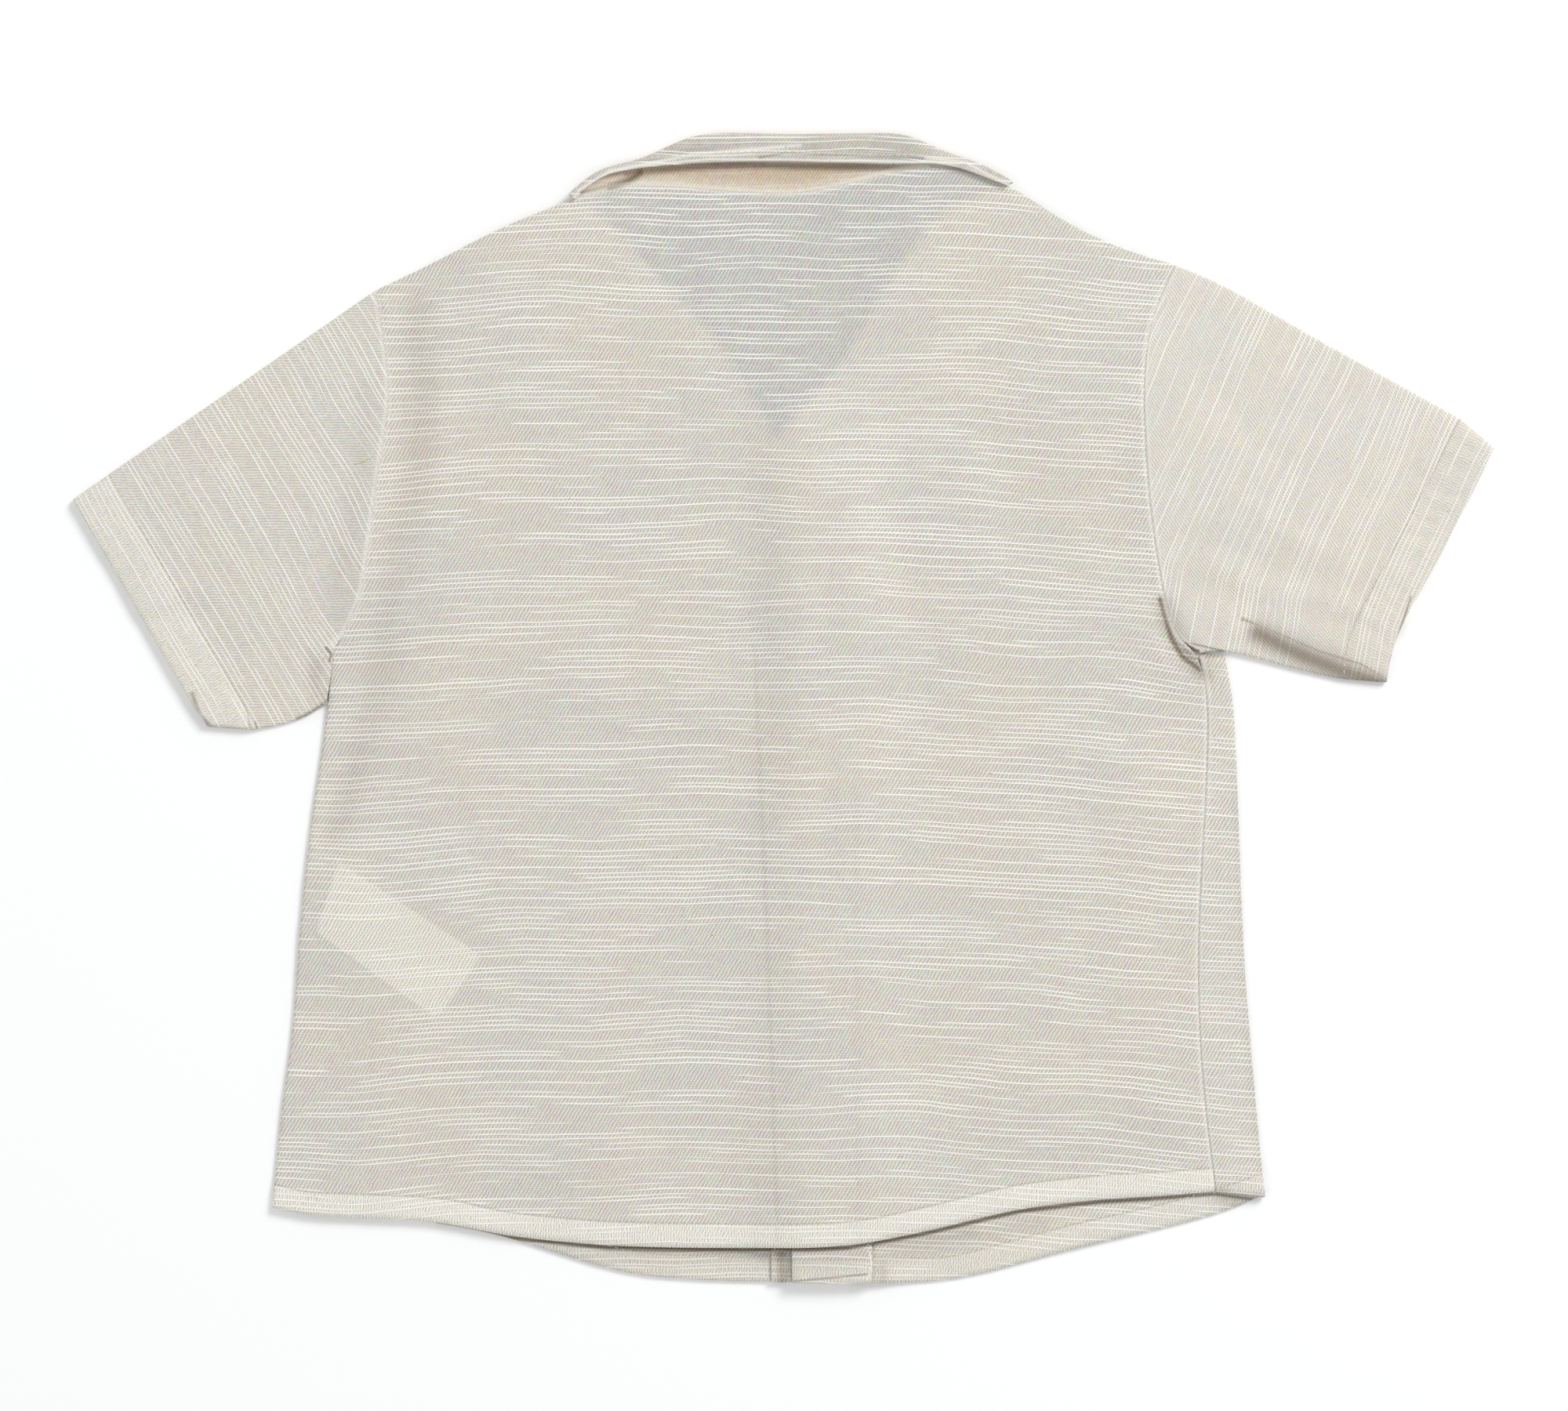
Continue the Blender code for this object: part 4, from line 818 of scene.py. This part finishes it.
# %% The cloth's colours
GROUND = srgb(210, 205, 194)
GROUND_WARM = srgb(213, 206, 193)
GROUND_COOL = srgb(207, 204, 196)
GROUND_ROSY = srgb(213, 204, 197)
YARN_WHITE = srgb(250, 247, 238)
HEM_PALE = srgb(232, 228, 217)
# DEEP is the brown that painted shade darkens the cloth towards.
DEEP = srgb(120, 99, 74)
SPECK = srgb(120, 108, 92)
NECK_GREY = srgb(178, 180, 179)      # one layer of cloth, over the open neck
LABEL_PALE = srgb(236, 232, 218)
COLLAR_GROUND = srgb(190, 187, 178)
# Painted shade on the collar's stand, which lies under the fall: paler at the neck seam, deepest towards
# the fall's edge.
STAND_SHADE_EDGE, STAND_SHADE_DEEP = srgb(226, 213, 194), srgb(212, 193, 169)
BODY_HEM = 8.5           # mm
SLEEVE_HEM = 16.0
HEM_RIB = 0.95           # the turned cloth shows fine ribs across the hem, mm apart
GRAIN_SHADE = 0.6        # how much the cotton's fine grain shades it
COLOUR_GRAIN = 0.26      # how much it turns the colour
STITCH_SHADE = 0.30      # of the dimple along a row of stitches
RELIEF_DEPTH = 0.0003    # m
RELIEF = (0.8, 0.28, 0.5, -1.4, 1.5)    # of thick yarns, weave, grain, dark lines, pale edges
CLOUDS = [  # noise: size, detail, roughness; ramp: from, to, least, most; and the colour
    (0.02, 2.0, 0.5, 0.38, 0.64, 0.0, 1.0, GROUND_WARM),
    (0.075, 2.0, 0.6, 0.45, 0.7, 0.0, 0.6, GROUND_ROSY),
    (0.055, 3.0, 0.6, 0.3, 0.7, 0.2, 0.7, GROUND)]


def ground_colour(s, tone):
    """The plain yarns' colour, with soft clouds of warmer and cooler cloth."""
    place = s.weave()[0]
    for size, detail, roughness, low, high, least, most, colour in CLOUDS:
        cloud = s.ramp(s.noise(place, size, detail, roughness), low, high, least, most)
        tone = s.mix(cloud, tone, colour)
    return tone


def show_through(s, ground):
    """What the layers under the back do to its colour."""
    ground = s.mix(s.ramp(s.value("open_neck"), -1.5, 4.0, 0.0, 0.46), ground, NECK_GREY)
    return s.mix(s.ramp(s.value("label"), -0.6, 0.6, 0.0, 0.52), ground, LABEL_PALE)


def cotton(name, yarns, twill_size, hem_width, hem_pale, lines, tone=GROUND_COOL, gain=1.0,
           layered=False, stand=False):
    """Slub cotton: hem_width is how far its hem reaches, in mm, and hem_pale how pale it is."""
    s = Finish(name)
    twill_pitch, twill_shade = twill_size
    place, along, *_ = s.weave()
    ground = ground_colour(s, tone)
    if layered:
        ground = show_through(s, ground)
    if stand:
        # The stand lies in the fall's shade: painted warm and dark, deepest towards the fall's edge.
        stand_shade = s.mix(s.ramp(s.value("seam"), 0.8, 6.0), STAND_SHADE_EDGE, STAND_SHADE_DEEP)
        ground = s.mix(s.value("stand"), ground, stand_shade)
    in_hem = s.ramp(s.value("hem"), hem_width - 0.6, hem_width + 0.4, 1.0, 0.0)
    ground = s.mix(s.times(in_hem, hem_pale), ground, HEM_PALE)
    hem_rib = s.math("SINE", s.times(s.plus(along, s.times(s.noise(place, 0.4, 1.0), 1.5)),
                                     2 * math.pi / HEM_RIB))
    weave_relief = s.plus(s.times(twill(s, twill_pitch), s.math("SUBTRACT", 1.0, s.times(in_hem, 0.6))),
                          s.times(hem_rib, in_hem, 0.7))
    grain = s.plus(s.noise(place, 1.5, 3.0, 0.7), -0.5)
    shade = s.times(s.plus(1.0, s.times(weave_relief, twill_shade), s.times(grain, GRAIN_SHADE)), gain)
    ground = s.mix(1.0, ground, s.join(shade, shade, shade), "MULTIPLY")
    ground = s.mix(COLOUR_GRAIN, ground, s.noise(place, 0.4, 2.0, 0.6, "Color"), "OVERLAY")
    yarn = thick_yarns(s, yarns)
    # In the stand's painted shade its white yarns are dimmed.
    if stand:
        yarn = s.times(yarn, s.math("SUBTRACT", 1.0, s.times(s.value("stand"), 0.8)))
    colour = s.mix(s.times(yarn, 0.9), ground, YARN_WHITE)
    # Painted shade, all but one dark thread end: the stitches' dimple, the seams' grooves, the thin lines
    # and the folds' dusk darken the colour towards DEEP, by the darkest of them.
    stitch_line = s.math("ABSOLUTE", s.math("SUBTRACT", s.value("hem"), hem_width))
    dark = s.ramp(stitch_line, 0.05, 0.6, STITCH_SHADE, 0.0)
    groove = s.times(s.ramp(s.value("seam"), 0.1, 0.9, 1.0, 0.0), s.value("groove"))
    dark = s.math("MAXIMUM", dark, groove)
    for half_width, strength, pixels in THIN_LINES[lines]:
        dark = s.math("MAXIMUM", dark, line_mark(s, half_width, strength, pixels))
    dark = s.math("MAXIMUM", dark, s.value("dusk"))
    colour = s.mix(dark, colour, s.mix(0.85, colour, DEEP, "MULTIPLY"))
    # Painted highlight: a pale band along each seam's raised edge, and the PALE_LINES' lit edges and
    # glints.
    pale = s.ramp(s.value("seam"), 0.7, 1.8, 0.30, 0.0)
    for half_width, strength, pixels in PALE_LINES.get(lines, []):
        pale = s.math("MAXIMUM", pale, line_mark(s, half_width, strength, pixels))
    colour = s.mix(pale, colour, YARN_WHITE)
    speckle = add(s.tree, "ShaderNodeTexVoronoi", {"Scale": 0.12, "Vector": place}).outputs["Distance"]
    colour = s.mix(s.ramp(speckle, 0.02, 0.05, 0.5, 0.0), colour, SPECK)
    s.paint({"Base Color": colour, "Roughness": 0.93, "Specular IOR Level": 0.18,
             "Sheen Weight": 0.1, "Sheen Roughness": 0.6})
    layers = zip((yarn, weave_relief, grain, dark, pale), RELIEF)
    s.bump(s.plus(*[s.times(layer, depth) for layer, depth in layers]), RELIEF_DEPTH)
    return s.material


# gain scales a piece's whole ground colour: the right sleeve's is painted light, brighter than the rest,
# and the collar's is darker.
back_cotton = cotton("cotton_back", BODY_YARNS, BODY_TWILL, BODY_HEM, 0.8, "back", layered=True)
front_cotton = cotton("cotton_front", BODY_YARNS, BODY_TWILL, BODY_HEM, 0.3, "front", gain=1.03)
left_sleeve_cotton = cotton("cotton_left_sleeve", SLEEVE_YARNS, SLEEVE_TWILL, SLEEVE_HEM, 0.35,
                            "left_sleeve", gain=1.03)
right_sleeve_cotton = cotton("cotton_right_sleeve", SLEEVE_YARNS, SLEEVE_TWILL, SLEEVE_HEM, 0.0,
                             "right_sleeve", gain=1.09)
collar_cotton = cotton("cotton_collar", COLLAR_YARNS, SLEEVE_TWILL, BODY_HEM, 0.4, "collar",
                       tone=COLLAR_GROUND, gain=0.90, stand=True)
print("the back's material has", len(back_cotton.node_tree.nodes), "nodes")

# %% The label's tape
TAPE_RIB = 0.8     # mm

tape = Finish("label_tape")
ribs = tape.math("SINE", tape.times(tape.weave()[2], 2 * math.pi / TAPE_RIB))
tape_colour = tape.mix(tape.ramp(ribs, -1, 1), srgb(226, 224, 216), srgb(240, 239, 233))
tape.paint({"Base Color": tape_colour, "Roughness": 0.6})
tape.bump(ribs, 0.0001, 0.3)
print("label tape ready")

# %% Cloth and tape onto the pieces
PAINT = {"back_panel": back_cotton, "left_sleeve": left_sleeve_cotton,
         "right_sleeve": right_sleeve_cotton,
         "collar_fall": collar_cotton, "left_collar_leaf": collar_cotton,
         "right_collar_leaf": collar_cotton, "blank_label": tape.material}
for name, piece in made.items():
    piece.data.materials.clear()
    piece.data.materials.append(PAINT.get(name, front_cotton))
    piece.data.shade_smooth()
    piece.data.set_sharp_from_angle(angle=math.radians(55))
print("painted", len(made), "pieces")

# %% [markdown]
# ## Stitches
#
# A row of stitches is one short, round-ended thread repeated along a path, a little
# uneven because hands guided the cloth. That is a job for Geometry Nodes: the path is
# cut into equal steps, a small thread is set on each step and turned along the path.

# %% Ends of a tree
def end_tree(tree, placed, material, out):
    """Makes the placed copies real, gives them their material and ends the tree."""
    real = add(tree, "GeometryNodeRealizeInstances", {0: placed.outputs[0]})
    painted = add(tree, "GeometryNodeSetMaterial", {"Geometry": real.outputs[0], "Material": material})
    tree.links.new(painted.outputs[0], out[0])
    return tree


def grow(thing, tree, wanted):
    """Runs a tree on the object with the wanted inputs, and keeps the result as its plain mesh."""
    rows = thing.modifiers.new("rows", "NODES")
    rows.node_group = tree
    for item in tree.interface.items_tree:
        if item.in_out == "INPUT" and item.name in wanted:
            rows[item.identifier] = wanted[item.name]
    settled(thing)


print("trees end in Realize Instances and Set Material")

# %% The stitch tree
SWAY = 0.10     # how far a stitch may turn from its row, radians


def stitch_tree():
    """A tree that lays stitches along an edge path; its sizes are named inputs."""
    tree, given, out = new_tree(
        "stitch_row", "GeometryNodeTree",
        {"Geometry": "Geometry", "Stitch pitch": "Float", "Stitch length": "Float",
         "Thread thickness": "Float", "Stitch turn": "Float", "Thread": "Material"},
        {"Geometry": "Geometry"})
    path = add(tree, "GeometryNodeMeshToCurve", {0: given["Geometry"]})
    steps = add(tree, "GeometryNodeCurveToPoints",
                {"Curve": path.outputs[0], "Length": given["Stitch pitch"]}, mode="LENGTH")
    ball = add(tree, "GeometryNodeMeshUVSphere", {"Segments": 6, "Rings": 4, "Radius": 0.5})
    aim = add(tree, "FunctionNodeAlignRotationToVector", {"Vector": steps.outputs["Tangent"]}, axis="X")
    sway = add(tree, "FunctionNodeRandomValue", {2: -SWAY, 3: SWAY, "Seed": 5})
    total = add(tree, "ShaderNodeMath", {0: sway.outputs[1], 1: given["Stitch turn"]})
    around = add(tree, "ShaderNodeCombineXYZ", {2: total.outputs[0]})
    spin = add(tree, "FunctionNodeEulerToRotation", {0: around.outputs[0]})
    turn = add(tree, "FunctionNodeRotateRotation", {0: aim.outputs[0], 1: spin.outputs[0]},
               rotation_space="LOCAL")
    thick = given["Thread thickness"]
    size = add(tree, "ShaderNodeCombineXYZ", {0: given["Stitch length"], 1: thick, 2: thick})
    placed = add(tree, "GeometryNodeInstanceOnPoints",
                 {"Points": steps.outputs["Points"], "Instance": ball.outputs["Mesh"],
                  "Rotation": turn.outputs[0], "Scale": size.outputs[0]})
    return end_tree(tree, placed, given["Thread"], out)


ROW_OF_STITCHES = stitch_tree()
print("tree:", ROW_OF_STITCHES.name, "with", len(ROW_OF_STITCHES.nodes), "nodes")

# %% Thread
thread = Finish("cotton_thread")
thread_grain = thread.noise(thread.here(), 900.0, 2.0)
thread_colour = thread.mix(thread_grain, srgb(206, 197, 178), srgb(234, 229, 214))
thread.paint({"Base Color": thread_colour, "Roughness": 0.7})
print("thread ready")

# %% Paths on the cloth
SINK = 0.00008     # how far a stitch sinks into the cloth, m, on top and underneath
SINK_UNDER = 0.00014
trees = {}


def surface_of(name):
    """A search tree of one piece, made once."""
    if name not in trees:
        trees[name] = BVHTree.FromObject(made[name], bpy.context.evaluated_depsgraph_get())
    return trees[name]


def laid_on(name, line, under=False):
    """The line's points in metres on the piece's upper side, or on its underside."""
    start, way, sink = (-0.01, 1, SINK_UNDER) if under else (0.05, -1, SINK)
    tree, out = surface_of(name), []
    for x, y in dense(line, 1.3):
        hit = tree.ray_cast(Vector((x * MM, y * MM, start)), Vector((0, 0, way)))[0]
        out.append(None if hit is None else (hit.x, hit.y, hit.z + way * sink))
    return out


def beside(line, distance):
    """The line moved sideways, to its left."""
    along = directions(line)
    return line + distance * np.stack([-along[:, 1], along[:, 0]], 1)


def stitched(name, paths, pitch=2.6, length=1.9, thickness=0.42, turn=0.0):
    """One mesh of stitches along paths that lie on the cloth; sizes in mm."""
    mesh = bpy.data.meshes.new(name)
    points, edges = [], []
    for path in paths:
        before = False
        for point in path:
            if point is not None:
                points.append(point)
                if before:
                    edges.append((len(points) - 2, len(points) - 1))
            before = point is not None
    mesh.from_pydata(points, edges, [])
    thing = in_scene(name, mesh)
    grow(thing, ROW_OF_STITCHES,
         {"Stitch pitch": pitch * MM, "Stitch length": length * MM, "Stitch turn": turn,
          "Thread thickness": thickness * MM, "Thread": thread.material})
    thing.data.shade_smooth()
    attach(thing, "root")
    print(f"{name}: {len(thing.data.polygons)} faces")


# %% [markdown]
# The body's hem is stitched all round at its upper fold, each sleeve's hem on both of
# its layers, and the collar along its edge. Each path is its hem's own line, moved
# in by the width of the hem and dropped onto the cloth.

# %% Stitched hems
HEM_PATHS = {
    "left_front": beside(FRONT_HEM, BODY_HEM)[2:],
    "right_front": beside(FRONT_HEM, BODY_HEM),
    "left_sleeve": beside(SLEEVE_HEM_LEFT, SLEEVE_HEM)[1:-1],
    "right_sleeve": beside(SLEEVE_HEM_RIGHT, -SLEEVE_HEM)[1:-1]}

hem_rows = [laid_on("back_panel", beside(BACK_HEM, BODY_HEM)[2:-2])]
for under in (False, True):
    hem_rows += [laid_on(name, path, under) for name, path in HEM_PATHS.items()]
stitched("hem_stitching", hem_rows)

# %% Stitched collar
COLLAR_EDGE = dense(on_floor([(765, 226), (815, 216), (872, 211), (949, 207), (1000, 207),
                              (1082, 209), (1143, 211), (1200, 210)]))
COLLAR_STITCH = 3.4     # in from the collar's edge, mm
stitched("collar_stitching", [laid_on("collar_fall", beside(COLLAR_EDGE, COLLAR_STITCH))])

# %% [markdown]
# The raw edge of each facing is overlocked: a thread zigzags over it so that it can't
# fray. A few loose loops of it show in the gap at the front hem.

# %% Overlocked facing edges
OVERLOCKED = [  # facing, then in pixels its edge's column, the thread's reach and both end rows
    ("right_facing", 1111, 9, 1632, 1380), ("left_facing", 986, 7, 1632, 1380)]
ZIGZAG = 4.5         # pixels from one turn of the thread to the next
FINE_THREAD = 0.34   # mm


def on_top(names, line):
    """The line's points on whichever of the named pieces lies highest."""
    rows = [laid_on(name, line) for name in names]
    return [max((p for p in places if p), key=lambda p: p[2], default=None) for places in zip(*rows)]


zigzags = []
for name, column, reach, low_row, high_row in OVERLOCKED:
    turns = int((low_row - high_row) / ZIGZAG)
    line = on_floor([(column + reach * (0.5 if n % 2 else -0.5) * (1 + 0.3 * math.sin(2.1 * n)),
                      low_row - n * ZIGZAG) for n in range(turns)])
    zigzags.append(on_top([name, name.replace("facing", "front")], line))
for loose in ([(1106, 1632), (1124, 1622), (1112, 1612), (1130, 1604), (1142, 1628)],
              [(1116, 1634), (1134, 1618), (1140, 1606), (1122, 1600), (1110, 1618)]):
    zigzags.append(on_top(["right_facing", "right_front"], on_floor(loose)))
stitched("overlock_thread", zigzags, pitch=1.1, length=1.5, thickness=FINE_THREAD)

# %% [markdown]
# ## Buttons
#
# Five dished buttons hold the front closed, face down against the floor. One button is
# turned as a profile with four holes, and a tree sets it at equal steps down the front.

# %% One button
BUTTON_PROFILE = [(2.3, 0.62), (3.5, 0.5), (4.1, 0.16), (4.7, 0.0), (5.2, 0.1), (5.5, 0.65),
                  (5.45, 1.2), (5.1, 1.75), (4.5, 2.0)]   # radius and height, mm
BUTTON_SIDES = 40
HOLE_RADIUS, HOLE_AWAY, HOLE_SIDES = 0.55, 1.25, 10


def button_mesh():
    """A dished button, face down, with four holes right through it."""
    work = bmesh.new()

    def circle(x, y, radius, height, sides):
        turns = [2 * math.pi * n / sides for n in range(sides)]
        return [work.verts.new(((x + radius * math.cos(turn)) * MM, (y + radius * math.sin(turn)) * MM,
                                height * MM)) for turn in turns]

    def stepped(loop):
        return loop[1:] + loop[:1]

    def wall(*sides):
        for corners in zip(*sides):
            work.faces.new(corners)

    rings = [circle(0, 0, radius, height, BUTTON_SIDES) for radius, height in BUTTON_PROFILE]
    for low, high in zip(rings[:-1], rings[1:]):
        wall(low, stepped(low), stepped(high), high)
    holes = {0: [], 1: []}
    heights = (BUTTON_PROFILE[0][1], BUTTON_PROFILE[-1][1])
    for quarter in range(4):
        turn = math.pi / 4 + quarter * math.pi / 2
        x, y = HOLE_AWAY * math.cos(turn), HOLE_AWAY * math.sin(turn)
        low, high = [circle(x, y, HOLE_RADIUS, height, HOLE_SIDES) for height in heights]
        wall(low, high, stepped(high), stepped(low))
        holes[0].append(low)
        holes[1].append(high)
    for side, ring in ((0, rings[0]), (1, rings[-1])):
        border = []
        for loop in [ring, *holes[side]]:
            for a, b in zip(loop, stepped(loop)):
                border.append(work.edges.get((a, b)) or work.edges.new((a, b)))
        bmesh.ops.triangle_fill(work, use_beauty=True, use_dissolve=False, edges=border)
    bmesh.ops.recalc_face_normals(work, faces=work.faces[:])
    mesh = bpy.data.meshes.new("buttons")
    work.to_mesh(mesh)
    work.free()
    return mesh


buttons = in_scene("buttons", button_mesh())
print("one button:", len(buttons.data.polygons), "faces")

# %% Button material
pearl = Finish("button_resin")
swirl = pearl.noise(pearl.here(), 260.0, 4.0, 0.6)
resin = pearl.mix(pearl.ramp(swirl, 0.3, 0.7), srgb(214, 200, 172), srgb(235, 226, 206))
pearl.paint({"Base Color": resin, "Coat Weight": 0.25,
             "Roughness": pearl.ramp(swirl, 0.2, 0.8, 0.24, 0.38)})
print("button material ready")

# %% Five buttons down the front
BUTTONS = ["button_1", "button_2", "button_3", "button_4", "button_5"]
BUTTON_TURN = 0.5     # how far a button may be turned, radians


def button_tree():
    """A tree that sets one button on every point of a straight row."""
    tree, given, out = new_tree(
        "button_row", "GeometryNodeTree",
        {"Geometry": "Geometry", "Count": "Int", "Start": "Vector", "Step": "Vector",
         "Resin": "Material"}, {"Geometry": "Geometry"})
    row = add(tree, "GeometryNodeMeshLine",
              {"Count": given["Count"], "Start Location": given["Start"], "Offset": given["Step"]})
    spin = add(tree, "FunctionNodeRandomValue",
               {0: (0, 0, -BUTTON_TURN), 1: (0, 0, BUTTON_TURN), "Seed": 4}, data_type="FLOAT_VECTOR")
    placed = add(tree, "GeometryNodeInstanceOnPoints",
                 {"Points": row.outputs["Mesh"], "Instance": given["Geometry"],
                  "Rotation": spin.outputs[0]})
    return end_tree(tree, placed, given["Resin"], out)


middles = [(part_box(node)[0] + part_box(node)[1]) / 2 for node in BUTTONS]
floor_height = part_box(BUTTONS[0])[0].z
button_step = (middles[-1] - middles[0]) / (len(BUTTONS) - 1)
grow(buttons, button_tree(),
     {"Count": len(BUTTONS), "Start": (middles[0].x, middles[0].y, floor_height),
      "Step": tuple(button_step), "Resin": pearl.material})
buttons.data.set_sharp_from_angle(angle=math.radians(40))
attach(buttons, "root")
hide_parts(*BUTTONS)
print("buttons:", len(buttons.data.polygons), "faces, step", round(button_step.length / MM, 1), "mm")

# %% Buttonholes, worked in close stitches on the outer front
BUTTONHOLE = (1.3, 6.6)     # half its width and half its length, mm

holes = []
for middle in middles:
    corners = [(middle.x / MM + across * BUTTONHOLE[0], middle.y / MM + up * BUTTONHOLE[1])
               for across, up in ((-1, -1), (-1, 1), (1, 1), (1, -1), (-1, -1))]
    for a, b in zip(corners[:-1], corners[1:]):
        holes.append(laid_on("left_front", [a, b], under=True))
stitched("buttonholes", holes, pitch=0.55, length=1.5, thickness=FINE_THREAD, turn=math.pi / 2)

# %% Thread through the buttons' holes
THREAD_REACH = 0.9 * HOLE_AWAY * MM
THREAD_HEIGHTS = (floor_height + 0.0004, floor_height + 0.00035)     # at the holes, in the middle

crosses = []
for middle in middles:
    for sign in (1, -1):
        for end in (1, -1):
            hole = (middle.x + end * THREAD_REACH, middle.y + sign * THREAD_REACH, THREAD_HEIGHTS[0])
            crosses.append([hole, (middle.x, middle.y, THREAD_HEIGHTS[1])])
stitched("button_thread", crosses, pitch=0.8, length=1.3, thickness=FINE_THREAD)

# %% [markdown]
# ## What each sheet of cloth was cut to
#
# The panels were cut flat, so their sizes are stated as cut pieces: width, length and
# area of what shows, all the way round where the cloth is a tube.

# %% Sheets
CUTS = {  # m; all round by length for a tube, and the label's own sides, as it lies askew
    "left_sleeve": (0.262, 0.134), "right_sleeve": (0.284, 0.134), "blank_label": (0.061, 0.027)}


def cloth_area(thing):
    """Half of a closed wall's surface, which is the cloth in it, in square metres."""
    return sum(face.area for face in thing.data.polygons) / 2


for name, piece in made.items():
    low, high = points_of(piece).min(0), points_of(piece).max(0)
    width, length = (high - low)[:2] * MM
    area = cloth_area(piece)
    width, length = CUTS.get(name, (width, length))
    if area > width * length:
        length = 1.02 * area / width
    print(f"{name}: cut {width:.3f} x {length:.3f} m, cloth {area:.4f} m2")
